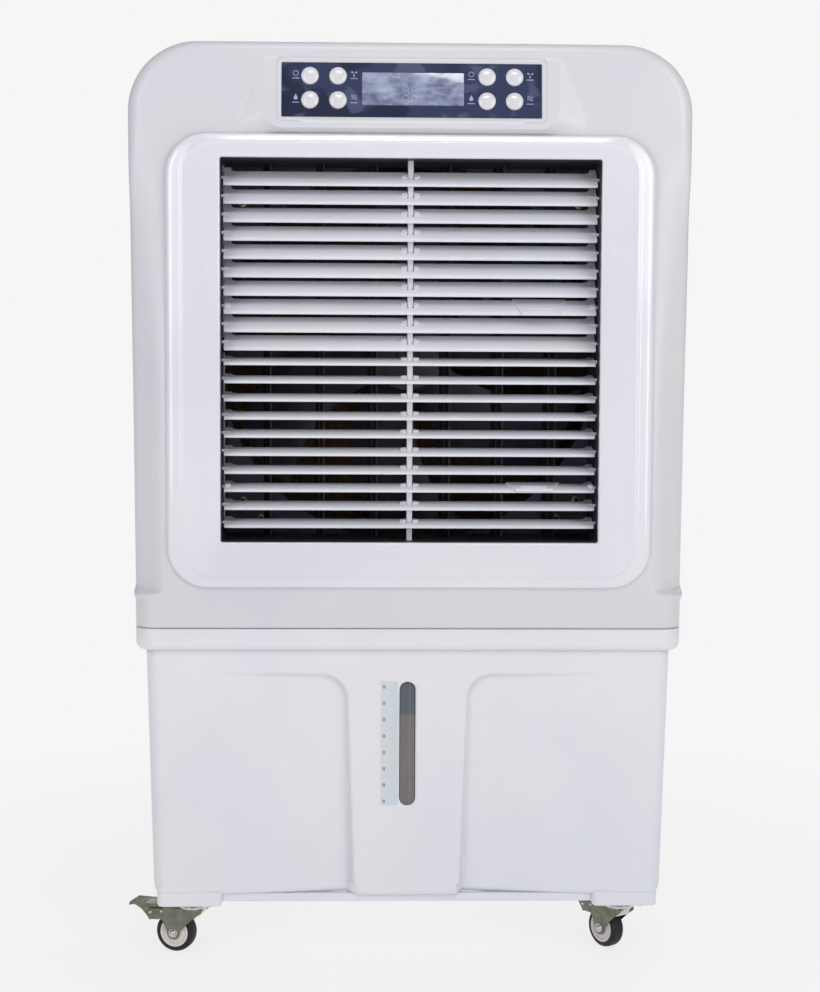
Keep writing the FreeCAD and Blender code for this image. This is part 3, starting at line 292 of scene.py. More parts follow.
def distance(points, loop, closed=True):
    """Distance of each point to a path, and the nearest point on it."""
    best = np.full(len(points), 1e9)
    nearest = np.zeros_like(points)
    ends = loop[1:] + loop[:1] if closed else loop[1:]
    for a, b in zip(loop, ends):
        a, b = np.array(a, float), np.array(b, float)
        along = b - a
        share = np.clip(((points - a) @ along) / max(along @ along, 1e-12), 0, 1)
        at = a + share[:, None] * along
        gap = np.linalg.norm(points - at, axis=1)
        closer = gap < best
        best[closer] = gap[closer]
        nearest[closer] = at[closer]
    return best, nearest


def sheet_fill(outer, holes, creases, grid):
    """Triangles of a flat region with holes, through creases and grid points that keep clear of both."""
    loops = [outer] + holes + creases
    keep = inside(grid, outer)
    for hole in holes:
        keep &= ~inside(grid, hole)
    grid = grid[keep]
    for loop in loops:
        grid = grid[distance(grid, loop)[0] > 0.9]
    points, edges = [], []
    for loop in loops:
        base = len(points)
        points += [tuple(p) for p in loop]
        edges += [(base + i, base + (i + 1) % len(loop)) for i in range(len(loop))]
    points += [tuple(p) for p in grid]
    made = delaunay_2d_cdt([Vector(p) for p in points], edges, [], 0, 1e-5)
    at = np.array([tuple(p) for p in made[0]])
    faces = np.array([f for f in made[2] if len(f) == 3])
    middle = at[faces].mean(axis=1)
    keep = inside(middle, outer)
    for hole in holes:
        keep &= ~inside(middle, hole)
    return at, faces[keep]


# ---------------------------------------------------------------- materials

class Paint:
    """A procedural material under construction: Principled shader, object coordinates, and small helpers."""

    def __init__(self, name, color, rough, metal=0.0, coat=0.0, coat_rough=0.1):
        self.material = bpy.data.materials.new(name)
        self.material.use_nodes = True
        self.tree = self.material.node_tree
        self.shader = self.tree.nodes["Principled BSDF"]
        for key, value in (("Base Color", rgb(color)), ("Roughness", rough), ("Metallic", metal),
                           ("Coat Weight", coat), ("Coat Roughness", coat_rough), ("IOR", 1.46)):
            self.shader.inputs[key].default_value = value
        self.where = self.node("ShaderNodeTexCoord").outputs["Object"]
        self.bumps = None

    def node(self, kind, **values):
        made = self.tree.nodes.new(kind)
        for key, value in values.items():
            if hasattr(made, key):
                setattr(made, key, value)
            else:
                made.inputs[key.replace("_", " ")].default_value = value
        return made

    def link(self, source, target):
        self.tree.links.new(source, target)
        return target

    def stretched(self, scale):
        mapping = self.node("ShaderNodeMapping")
        mapping.inputs["Scale"].default_value = scale
        self.link(self.where, mapping.inputs["Vector"])
        return mapping.outputs["Vector"]

    def noise(self, size, detail=3.0, rough=0.55, stretch=None):
        """Noise whose blobs measure about a size in millimetres."""
        noise = self.node("ShaderNodeTexNoise", Scale=1 / (size * MM), Detail=detail, Roughness=rough)
        self.link(self.stretched(stretch) if stretch else self.where, noise.inputs["Vector"])
        return noise.outputs["Fac"]

    def ramp(self, source, *stops):
        """Grey ramp; a stop is (position, grey)."""
        ramp = self.node("ShaderNodeValToRGB")
        while len(ramp.color_ramp.elements) < len(stops):
            ramp.color_ramp.elements.new(1.0)
        for element, (position, value) in zip(ramp.color_ramp.elements, stops):
            element.position = position
            element.color = (value, value, value, 1.0)
        self.link(source, ramp.inputs["Fac"])
        return ramp.outputs["Color"]

    def mix(self, share, first, second):
        """Mix two colours; each is a socket or a colour."""
        mix = self.node("ShaderNodeMix", data_type="RGBA")
        for index, value in ((0, share), (6, first), (7, second)):
            if isinstance(value, bpy.types.NodeSocket):
                self.link(value, mix.inputs[index])
            else:
                mix.inputs[index].default_value = value if index == 0 else rgb(value)
        return mix.outputs[2]

    def color(self, source):
        self.link(source, self.shader.inputs["Base Color"])
        return self

    def rough(self, source, low, high):
        spread = self.node("ShaderNodeMapRange", To_Min=low, To_Max=high)
        self.link(source, spread.inputs["Value"])
        self.link(spread.outputs["Result"], self.shader.inputs["Roughness"])
        return self

    def bump(self, source, depth, strength=1.0):
        """Add a relief of a depth in millimetres."""
        bump = self.node("ShaderNodeBump", Strength=strength, Distance=depth * MM)
        self.link(source, bump.inputs["Height"])
        if self.bumps:
            self.link(self.bumps, bump.inputs["Normal"])
        self.bumps = bump.outputs["Normal"]
        self.link(self.bumps, self.shader.inputs["Normal"])
        self.link(self.bumps, self.shader.inputs["Coat Normal"])
        return self

    def patches(self, base, other, noise, low, high, share=1.0):
        """Blend into another colour, up to a share, where a noise rises from low to high."""
        return self.mix(self.ramp(noise, (low, 0.0), (high, share)), base, other)


def rgb(color):
    """Linear colour from 0-255 sRGB values."""
    linear = [c / 255 / 12.92 if c <= 10 else ((c / 255 + 0.055) / 1.055) ** 2.4 for c in color]
    return (*linear, 1.0)


def moulded_plastic(name, color, rough=0.34, tint=(0.97, 0.975, 1.0), grime=(208, 206, 199), share=0.10,
                    coat=0.15, coat_rough=0.2):
    """Injection-moulded ABS: slight flow marks in colour, orange-peel relief and a little dust."""
    paint = Paint(name, color, rough, coat=coat, coat_rough=coat_rough)
    cool = tuple(c * t for c, t in zip(color, tint))
    base = paint.patches(color, cool, paint.noise(260), 0.35, 0.65)
    paint.color(paint.patches(base, grime, paint.noise(90, 4.0, 0.6), 0.40, 0.80, share))
    paint.rough(paint.noise(30, 4.0), rough - 0.05, rough + 0.07)
    paint.bump(paint.noise(7.0, 2.0), 0.05, 0.35)
    paint.bump(paint.noise(0.9, 2.0), 0.012, 0.4)
    return paint.material


def grained_plastic(name, color, rough=0.5):
    """Dark moulded plastic with a fine spark-eroded grain and dust in it."""
    paint = Paint(name, color, rough)
    paint.color(paint.patches(color, tuple(c + 34 for c in color), paint.noise(24, 6.0, 0.65), 0.46, 0.8, 0.35))
    paint.rough(paint.noise(14), rough - 0.08, rough + 0.12)
    paint.bump(paint.noise(0.8, 3.0), 0.04, 0.5)
    return paint.material


def zinc_steel(name, color=(158, 160, 150), rough=0.3, tint=(128, 130, 108)):
    """Zinc-plated pressed steel with passivation tint, draw marks and dull patches."""
    paint = Paint(name, color, rough, metal=1.0)
    tone = paint.patches(color, tint, paint.noise(9, 5.0, 0.6), 0.36, 0.66)
    pale = tuple(min(255, c + 30) for c in color)
    paint.color(paint.patches(tone, pale, paint.noise(5.0, 2.0), 0.4, 0.7, 0.16))
    paint.rough(paint.noise(6, 5.0), rough - 0.08, rough + 0.16)
    paint.bump(paint.noise(1.6, 2.0, stretch=(1, 1, 0.2)), 0.008, 0.3)
    return paint.material


def rubber():
    """Black tyre rubber: grey dust in the tread, mould grain."""
    paint = Paint("rubber_black", (26, 27, 27), 0.55)
    paint.color(paint.patches((13, 14, 13), (62, 58, 52), paint.noise(7, 7.0, 0.7), 0.46, 0.80, 0.4))
    paint.rough(paint.noise(4), 0.45, 0.75)
    paint.bump(paint.noise(0.7, 4.0), 0.06, 0.5)
    return paint.material


def brass():
    """Brass-plated steel with a brown stain."""
    paint = Paint("brass_plated", (176, 156, 118), 0.34, metal=0.85)
    paint.color(paint.patches((190, 172, 136), (150, 126, 84), paint.noise(3, 4.0), 0.4, 0.7, 0.6))
    paint.bump(paint.noise(0.6, 2.0), 0.02, 0.4)
    return paint.material


def cellulose():
    """Resin-soaked kraft paper: fibres, darker wet patches, paper edges."""
    paint = Paint("cellulose_brown", (112, 84, 58), 0.82)
    base = paint.patches((118, 90, 64), (80, 58, 40), paint.noise(60, 5.0), 0.38, 0.68, 0.7)
    fibre = paint.noise(1.6, 5.0, 0.7, stretch=(1, 1, 0.25))
    paint.color(paint.patches(base, (146, 118, 88), fibre, 0.35, 0.75, 0.4))
    paint.bump(paint.noise(1.2, 4.0, stretch=(1, 1, 0.3)), 0.15, 0.7)
    return paint.material


def film():
    """Navy membrane under its protective film: blotches where the film clings, small wrinkles."""
    paint = Paint("membrane_navy", (40, 48, 78), 0.25, coat=0.15, coat_rough=0.1)
    clings = paint.ramp(paint.noise(62, 1.6, 0.45), (0.47, 0.0), (0.52, 1.0))
    lifts = paint.ramp(paint.noise(44, 2.0, 0.5, stretch=(1.0, 1.0, 1.4)), (0.56, 0.0), (0.62, 0.75))
    base = paint.mix(clings, (30, 36, 64), (46, 54, 86))
    base = paint.mix(lifts, base, (66, 73, 106))
    shade = paint.ramp(paint.noise(90, 2.0), (0.36, 0.7), (0.5, 0.0))
    paint.color(paint.mix(shade, base, (22, 27, 52)))
    paint.rough(lifts, 0.18, 0.36)
    paint.bump(paint.noise(22, 2.0), 0.16, 0.4)
    return paint.material


def display():
    """Unlit display behind a smoky lens: painted reflection as cloudy pale patches and pale streaks over grey-blue.
    """
    paint = Paint("display_lens", (112, 120, 150), 0.16, coat=0.5, coat_rough=0.05)
    # Painted reflection: the pale cloudy patches and stretched pale streaks stand in for lamps mirrored in the
    # lens.
    base = paint.patches((92, 100, 134), (158, 166, 192), paint.noise(26), 0.34, 0.64)
    painted_streak = paint.noise(9, 3.0, 0.5, stretch=(0.5, 1.0, 1.6))
    paint.color(paint.patches(base, (186, 192, 212), painted_streak, 0.45, 0.75, 0.5))
    paint.bump(paint.noise(20, 2.0), 0.1, 0.4)
    return paint.material


def smoky_lens():
    """Sight window: brown-grey where the tank shows through, blue-grey at its top, a faint streak of light."""
    paint = Paint("sight_lens", (118, 113, 113), 0.22, coat=0.5, coat_rough=0.08)
    parts = paint.node("ShaderNodeSeparateXYZ")
    paint.link(paint.where, parts.inputs["Vector"])
    level = paint.node("ShaderNodeMapRange", From_Min=SIGHT_LINE[0] * MM, From_Max=SIGHT_LINE[1] * MM)
    paint.link(parts.outputs["Z"], level.inputs["Value"])
    base = paint.mix(level.outputs["Result"], (106, 101, 100), (72, 79, 91))
    painted_streak = paint.node("ShaderNodeMapRange", From_Min=0.0005, From_Max=0.0022)
    paint.link(parts.outputs["X"], painted_streak.inputs["Value"])
    glow = paint.ramp(painted_streak.outputs["Result"], (0.0, 0.0), (0.5, 0.3), (1.0, 0.0))
    base = paint.mix(glow, base, (160, 156, 155))
    paint.color(paint.patches(base, (92, 90, 96), paint.noise(9, 4.0, stretch=(1, 1, 0.2)), 0.4, 0.7, 0.35))
    paint.bump(paint.noise(5, 2.0), 0.04, 0.4)
    return paint.material


def ink(name, color, lift=40):
    """Printed ink with a slightly uneven cover."""
    paint = Paint(name, color, 0.4)
    paint.color(paint.patches(color, tuple(min(255, c + lift) for c in color), paint.noise(1.5), 0.4, 0.7, 0.4))
    paint.bump(paint.noise(0.5, 2.0), 0.01, 0.4)
    return paint.material


HOUSING = moulded_plastic("housing_abs", (212, 212, 215), share=0.06)
BEZEL = moulded_plastic("bezel_abs", (224, 223, 229), 0.24, share=0.05, coat=1.0, coat_rough=0.09)
TANK = moulded_plastic("tank_abs", (225, 225, 229), 0.36)
LOUVRE = moulded_plastic("louvre_abs", (226, 226, 232), 0.32, share=0.3)
CAP = moulded_plastic("button_abs", (216, 215, 218), 0.22, share=0.05, coat=0.6, coat_rough=0.12)
GRILLE = moulded_plastic("grille_abs", (218, 219, 222), 0.4, share=0.3)
VANE = grained_plastic("vane_plastic", (30, 31, 35))
SHROUD = grained_plastic("shroud_plastic", (62, 67, 80), 0.45)
DUCT = grained_plastic("duct_plastic", (48, 50, 57), 0.5)
FAN = grained_plastic("fan_plastic", (58, 62, 70), 0.42)
PUMP = grained_plastic("pump_plastic", (30, 31, 34), 0.42)
LINK = grained_plastic("link_nylon", (160, 160, 158), 0.45)
MOTOR = zinc_steel("motor_casting", (120, 122, 126), 0.45, (96, 98, 104))
STEEL = zinc_steel("caster_zinc", (124, 125, 112), 0.26, (104, 105, 92))
CHROME = zinc_steel("caster_chrome", (205, 208, 206), 0.16, (176, 182, 178))
RUBBER = rubber()
NYLON = moulded_plastic("wheel_nylon", (216, 208, 206), 0.4, grime=(168, 160, 148), share=0.4)
BRASS = brass()
PAD = cellulose()
FILM = film()
DISPLAY = display()
LENS = smoky_lens()
PRINT = ink("print_pale", (150, 156, 190))
MARK = ink("print_blue", (112, 158, 198))
TICK = ink("print_light_blue", (172, 202, 222))
LABEL = ink("label_grey", (208, 209, 213), 7)
DARK = grained_plastic("dark_recess", (18, 18, 20), 0.5)


# ---------------------------------------------------------------- shells with a soft-edged face

def edge_round(d, radius):
    """How far a rounded edge falls back at a distance inside the outline."""
    short = np.clip(radius - d, 0.0, radius)
    return radius - np.sqrt(np.maximum(radius * radius - short * short, 0.0))


class Shell:
    """A face given as a depth over (x, z), the rounded edge round it, and the side behind that edge."""

    def __init__(self, path, closed, base, radius, hand=1):
        self.path, self.closed, self.base, self.radius, self.hand = path, closed, base, radius, hand
        self.shape = Shape()
        self.at = np.array(path, float)

    def normals(self):
        at = self.at
        if self.closed:
            along = np.roll(at, -1, 0) - np.roll(at, 1, 0)
        else:
            along = np.gradient(at, axis=0)
            along[0], along[-1] = (0, along[0][1]), (0, along[-1][1])
        along /= np.linalg.norm(along, axis=1)[:, None]
        inward = np.stack((-along[:, 1], along[:, 0]), 1)
        middle = at.mean(0)
        return inward if ((middle - at) * inward).sum() > 0 else -inward

    def depth(self, xz, d=None):
        if d is None:
            d, nearest = distance(xz, self.path, self.closed)
            radius = self.radius(nearest[:, 0], nearest[:, 1])
        else:
            radius = self.radius(self.at[:, 0], self.at[:, 1])
        return self.base(xz[:, 0], xz[:, 1]) + edge_round(d, radius)

    def edge(self, behind, rows=9):
        """Loft the side and the rounded edge. behind lists (y, inset) of the side's rows, from the back."""
        inward = self.normals()
        rings = []
        for y, inset in behind:
            at = self.at + inward * inset
            rings.append(np.column_stack((at[:, 0], np.full(len(at), y * 1.0), at[:, 1])))
        for k in range(rows + 1):
            d = RING * (k / rows) ** 2
            at = self.at + inward * d
            rings.append(np.column_stack((at[:, 0], self.depth(at, d), at[:, 1])))
        self.inner = rings[-1]
        self.shape.loft([self.place(ring) for ring in rings], closed=self.closed, caps=False)
        return self

    def place(self, points):
        return [(x, self.hand * y, z) for x, y, z in points]

    def fill(self, xs, zs, holes=(), creases=(), step=6.0):
        """Triangulate the face inside the edge."""
        outer = [(x, z) for x, _, z in self.inner]
        if not self.closed:
            (x0, z0), (x1, z1) = outer[-1], outer[0]
            count = round(math.hypot(x1 - x0, z1 - z0) / step)
            outer += [(x0 + (x1 - x0) * k / count, z0 + (z1 - z0) * k / count) for k in range(1, count)]
        grid = np.array([(x, z) for x in xs for z in zs])
        at, faces = sheet_fill(outer, list(holes), list(creases), grid)
        y = self.depth(at)
        for ring_point in self.inner:
            gap = np.hypot(at[:, 0] - ring_point[0], at[:, 1] - ring_point[2])
            near = int(gap.argmin())
            if gap[near] < 0.05:
                at[near], y[near] = (ring_point[0], ring_point[2]), ring_point[1]
        points = np.column_stack((at[:, 0], y, at[:, 1]))
        self.shape.add(self.place(points), faces.tolist())
        return self


def spread(*stretches):
    """Grid coordinates: each stretch is (start, end, step)."""
    values = []
    for start, end, step in stretches:
        count = max(1, round((end - start) / step))
        values += [start + (end - start) * k / count for k in range(count)]
    return values + [stretches[-1][1]]


def mirrored(values):
    return sorted({round(-v, 6) for v in values} | {round(v, 6) for v in values})


def half_width(z):
    """Half width of the drafted housing at a height."""
    return HALF_BASE + (HALF_CREST - HALF_BASE) * (z - RIM_TOP) / (HOUSE_TOP - RIM_TOP)


def housing_path(low):
    """Outline of the housing seen from the front, open at its foot."""
    foot = half_width(low)
    corners = [(-foot, low), (-HALF_CREST, HOUSE_TOP), (HALF_CREST, HOUSE_TOP), (foot, low)]
    path = rounded(corners, [0, SHOULDER, SHOULDER, 0], arc=4.0, closed=False)
    zs = spread((low, 440, 6), (440, 474, 1.7), (474, path[1][1], 7))
    side = [(-half_width(z), z) for z in zs[:-1]]
    top = rounded(path[1:-1], 0, step=8, closed=False)
    return side + top + [(half_width(z), z) for z in reversed(zs[:-1])]


def corner_depth(across, up, radius):
    """Distance inside a quadrant whose inner corner is rounded."""
    corner = radius - np.hypot(np.maximum(radius - across, 0), np.maximum(radius - up, 0))
    return np.where((across < radius) & (up < radius), corner, np.minimum(across, up))


def strips(x, z):
    """How far the bevelled side strips run back."""
    width = 6 + 36 * smooth((z - 700) / 300)
    start = STRIP_X + 60 * smooth((z - 900) / 150) + width / 2
    slope = STRIP_SLOPE * soft_plus(np.abs(x) - start, width)
    base = 3.2 * soft_plus(corner_depth(np.abs(x) - STRIP_X + 6, z - STRIP_BASE, 20.0),
                         1.2 + 14 * smooth((z - STRIP_BASE - 14) / 120))
    return np.maximum(soft_min(slope, base, 2.4), 0.0)


POD_FACE = rounded([(-POD_X, POD_TOP - 3), (-POD_X, POD_SKIRT), (POD_X, POD_SKIRT), (POD_X, POD_TOP - 3)],
                   [3, 22, 22, 3], step=6, arc=6)
POD_EDGE = rounded([(-POD_X - 3, POD_TOP - 1.2), (-POD_FLARE, POD_TOE + 17), (-POD_FLARE, POD_TOE),
                    (POD_FLARE, POD_TOE), (POD_FLARE, POD_TOE + 17), (POD_X + 3, POD_TOP - 1.2)],
                   [1, 40, 11, 11, 40, 1], step=6, arc=6)


def pod(x, z):
    """How far the control pod stands out."""
    at = np.column_stack((x, z))
    rise = np.zeros(len(at))
    close = (np.abs(x) < POD_FLARE + 4) & (z > POD_TOE - 4)
    if close.any():
        near, face = distance(at[close], POD_FACE)
        far, _ = distance(at[close], POD_EDGE)
        in_face, in_edge = inside(at[close], POD_FACE), inside(at[close], POD_EDGE)
        height = POD_PROUD * (POD_TOP - np.where(in_face, z[close], face[:, 1])) / (POD_TOP - POD_BASE)
        share = np.where(in_face, 1.0, np.where(in_edge, far / np.maximum(near + far, 1e-6), 0.0))
        rise[close] = np.maximum(height, 0) * (share + 0.06 * np.sin(math.pi * share)) * smooth(
            (POD_TOP - 3 - z[close]) / 5)
    return rise


def front_radius(x, z):
    side = 28 - 21 * smooth((z - 446) / 16)
    return side + 9 * smooth((z - 950) / 90) - 5 * smooth((300 - np.abs(x)) / 60) * (z > 1000)


def front_face(x, z):
    return HOUSE_FRONT + POD_PROUD + strips(x, z) - pod(x, z)


def on_pod(u, v, height=0.0):
    """A point on the pod's leaning face: across, up the face, and out of it."""
    return (u, HOUSE_FRONT + POD_PROUD / 2 + v * math.sin(LEAN) - height * math.cos(LEAN),
            POD_MIDDLE + v * math.cos(LEAN) + height * math.sin(LEAN))


def pod_place(u, v, height=0.0):
    """Matrix of a local frame on the pod's face: X across, Y up the face, Z out of it."""
    turn = Matrix(((1, 0, 0), (0, math.sin(LEAN), -math.cos(LEAN)), (0, math.cos(LEAN), math.sin(LEAN))))
    return Matrix.Translation(on_pod(u, v, height)) @ turn.to_4x4()


def front_housing():
    """Upper front shell: bevelled side strips, the leaning control pod and its recess."""
    recess = rounded([(-PANEL_X, -PANEL_DROP), (PANEL_X, -PANEL_DROP), (PANEL_X, PANEL_RISE),
                      (-PANEL_X, PANEL_RISE)], 7, step=6, arc=15)
    hole = [(u, on_pod(u, v)[2]) for u, v in recess]
    under_bezel = frame_loop(BEZEL_X - 8.5, BEZEL_LOW + 8.5, BEZEL_HIGH - 9, 41, side=50)
    shell = Shell(housing_path(HOUSE_FOOT), False, front_face, front_radius)
    shell.edge([(SEAM, 0.9), (SEAM - 1.2, 0.0), (-60, 0.0), (-150, 0.0)])
    rims = [rounded(rounded_by(POD_FACE, gap), 0) for gap in (-1.6, 1.6)]
    creases = [POD_FACE, POD_EDGE] + rims
    xs = mirrored(spread((0, 282, 6), (282, 333, 1.8)))
    zs = spread((HOUSE_FOOT + 3, 440, 5), (440, 476, 1.6), (476, 1006, 7), (1006, 1032, 1.7), (1032, 1092, 5),
                (1092, POD_TOP, 1.5))
    shell.fill(xs, zs, [hole, under_bezel], creases)
    inner = [rounded_by(recess, -gap) for gap in (5.2, 5.6)]
    lower = [on_pod(u, v, -2.0) for u, v in inner[0]]
    floor = [on_pod(u, v, -2.45) for u, v in inner[1]]
    shell.shape.loft([[on_pod(u, v) for u, v in recess], lower, floor], caps=False)
    skin = shell.shape.make("front_housing_shell", HOUSING, slot="housing_white", stands_for=["front_housing"],
                            angle=38)
    face_out(skin, (0, -1, 0))
    thicken(skin, WALL)


def rounded_by(loop, gap):
    """A closed loop moved outwards by a gap."""
    at = np.array(loop, float)
    along = np.roll(at, -1, 0) - np.roll(at, 1, 0)
    along /= np.linalg.norm(along, axis=1)[:, None]
    out = np.stack((along[:, 1], -along[:, 0]), 1)
    if ((at - at.mean(0)) * out).sum() < 0:
        out = -out
    return [tuple(p) for p in at + out * gap]


def face_out(thing, direction):
    """Turn an open skin so that it faces a direction."""
    mesh = thing.data
    total = Vector()
    for face in mesh.polygons:
        total += face.normal * face.area
    if total.dot(Vector(direction)) < 0:
        mesh.flip_normals()


def rear_housing():
    """Upper rear shell: rounded upright corners, the window behind the grille, and a cable gland."""
    grille_low, grille_high = span("rear_grille")
    window = frame_loop(grille_high[0] - 14, grille_low[2] + 14, grille_high[2] - 14, 12, side=60)

    def face(x, z):
        return np.full(len(x), -BACK)

    def radius(x, z):
        return 28 - 14 * smooth((z - 1020) / 80)

    shell = Shell(housing_path(HOUSE_FOOT), False, face, radius, hand=-1)
    shell.edge([(-SEAM, 0.9), (-SEAM - 1.2, 0.0), (-70, 0.0), (-140, 0.0)])
    xs = mirrored(spread((0, 300, 15), (300, 330, 3)))
    zs = spread((HOUSE_FOOT + 5, 1090, 15), (1090, 1112, 4))
    shell.fill(xs, zs, [window])
    skin = shell.shape.make("rear_housing_shell", HOUSING, slot="housing_white", stands_for=["rear_housing"],
                            angle=38)
    face_out(skin, (0, 1, 0))
    thicken(skin, WALL)
    gland = [(4.2, -2), (9.5, -2), (9.5, 1.2), (8.9, 2.0), (7.6, 2.3), (7.0, 5.6), (6.4, 6.4), (4.9, 6.4),
             (4.2, 5.6), (4.2, -2)]
    Shape().lathe(gland, seat(-250, BACK, 426, -1), 40).make("cord_gland", PUMP, slot="pump_black")


def louvre_frame():
    """Raised frame with a rolled border, the duct behind it, and the post that clips the blades."""
    front, corner, opening = BEZEL_FRONT, 49.0, 2.5
    seat_y, crest, bead = HOUSE_FRONT + POD_PROUD, 22.5, 12
    band = [(0.1, 8.0), (0.4, 6.9), (0.9, 5.9), (1.7, 4.7), (3.0, 3.4), (5.0, 2.75), (9.0, 2.15), (13.0, 1.6),
            (16.0, 1.2)]
    leans = [math.radians(22 - 3 * step) for step in range(8)]
    band += [(crest - bead * math.sin(lean), bead * (1 - math.cos(lean))) for lean in leans]
    band += [(crest, 0.0), (23.6, 0.05), (25.0, 0.25), (26.5, 0.45), (28.5, 0.55)]
    rings = []

    def ring(half, low, high, radius, y):
        rings.append([(x, y, z) for x, z in frame_loop(half, low, high, radius, side=24)])

    for inset, y in [(0.0, seat_y - 0.1 - front)] + band:
        ring(BEZEL_X - inset, BEZEL_LOW + inset / 2, BEZEL_HIGH - inset / 2, corner - 0.7 * inset, front + y)
    for out, y in ((4.2, 0.8), (2.4, 1.0), (1.1, 1.4), (0.3, 2.3), (0.0, 3.4), (0.0, 7.0)):
        ring(OPEN_X + out, OPEN_LOW - out, OPEN_HIGH + out, opening + out, front + y)
    ring(OPEN_X + 5, OPEN_LOW - 5, OPEN_HIGH + 5, opening + 3, front + 7.2)
    for inset, radius, y in ((24, 25, seat_y + 2), (9, 40, seat_y + 0.4)):
        ring(BEZEL_X - inset, BEZEL_LOW + inset, BEZEL_HIGH - inset, radius, y)
    shape = Shape().loft(rings, wrap=True)
    shape.make("louvre_bezel", BEZEL, slot="louvre_white", stands_for=["louvre_frame"], angle=40)
    rings = []
    for out, y in ((0, front + 6.6), (0, -160), (0, DUCT_BACK), (5, DUCT_BACK), (5, -160), (5, front + 8)):
        ring(OPEN_X + out, OPEN_LOW - out, OPEN_HIGH + out, opening + out * 0.6, y)
    Shape().loft(rings, wrap=True).make("air_duct", DUCT, slot="shroud_grey", angle=40)
    post = Shape().block((-3.35, -191, OPEN_LOW - 0.8), (3.35, -171, OPEN_HIGH + 0.8), 0.8)
    post.make("centre_post", LOUVRE, slot="louvre_white")


def blade_height(index):
    return BLADE_TOP - (index - 1) * BLADE_PITCH


def blade_tilt(index):
    return TILT_UPPER if index <= LAST_UPPER else TILT_LOWER


def louvre_blade(index):
    """One cambered blade with a turned-down lip, ears, pins, and on two of them a thumb tab."""
    place = Matrix.Translation((0, BLADE_AXIS, blade_height(index))) @ Matrix.Rotation(
        math.radians(blade_tilt(index)), 4, "X")
    shape = Shape()

    def bar(x0, x1, section):
        ends = ((x0, 0.93), (x0 + 0.5, 1.0), (x1 - 0.5, 1.0), (x1, 0.93))
        shape.loft([[(x, y * s, z * s) for y, z in section] for x, s in ends], place)

    nose = [(-5, 1.5)] + BLADE_SECTION[3:10] + [(-5, -0.3)]
    bar(-BLADE_HALF, -4.5, BLADE_SECTION)
    bar(4.5, BLADE_HALF, BLADE_SECTION)
    bar(-5.2, 5.2, nose)
    wing = [(3.9, -3.2), (6.8, -2.6), (11.4, 0.8), (6.8, 4.0), (3.9, 4.6)]
    for hand in (-1, 1):
        outline = rounded([(hand * x, y) for x, y in wing], 0.4, arc=30)
        shape.slab(outline, 3.0, place @ Matrix.Translation((0, 0, 1.0)))
        ear = rounded([(0, 11), (14, 11), (8, 16), (8, 21.5), (0, 21.5)], [0, 0, 3, 2, 2], arc=20)
        outline = [(hand * (BLADE_HALF - x), y) for x, y in ear]
        shape.slab(outline, 2.0, place @ Matrix.Translation((0, 0, -1.0)))
        shape.lathe([(0, -3.8), (1.5, -3.8), (1.9, -3.3), (1.9, 6.0), (0, 6.0)],
                    place @ seat(hand * BLADE_HALF, 0, 0, -hand, "Y"), 16)
        if index in TABBED:
            low = -BLADE_HALF + 0.5 if hand < 0 else BLADE_HALF - 7.5
            shape.block((low, -7, -3.4), (low + 7, 0.5, 4.2), 1.0, place)
    shape.lathe([(0, -2.1), (0.9, -2.1), (1.2, -1.8), (1.2, 2.6), (0, 2.6)],
                place @ seat(-BLADE_HALF, 17.5, 0, 1, "Y"), 14)
    if index in TABBED:
        middle = TABBED[index]
        on_blade = place @ Matrix.Translation((middle, 0, 0))
        tab = rounded([(-33.3, 12.8), (-22.6, -17.4), (22.6, -17.4), (33.3, 12.8)], [1.5, 3.5, 3.5, 1.5], arc=15)
        rings = [[(x * (1 - shrink / 33), y * (1 - shrink / 17), height) for x, y in tab]
                 for shrink, height in ((0, 0.4), (0, 2.2), (0.3, 2.75), (0.9, 3.1))]
        shape.loft(rings, on_blade)
        for low in (-14.2, -10.8, -7.4):
            shape.block((-16, low, 2.8), (16, low + 1.4, 3.9), 0.5, on_blade)
    shape.make(f"blade_{index:02d}", LOUVRE, body=f"louvre_blade_{index:02d}", slot="louvre_white",
               stands_for=[f"louvre_blade_{index:02d}"], angle=35)


# ---------------------------------------------------------------- control panel

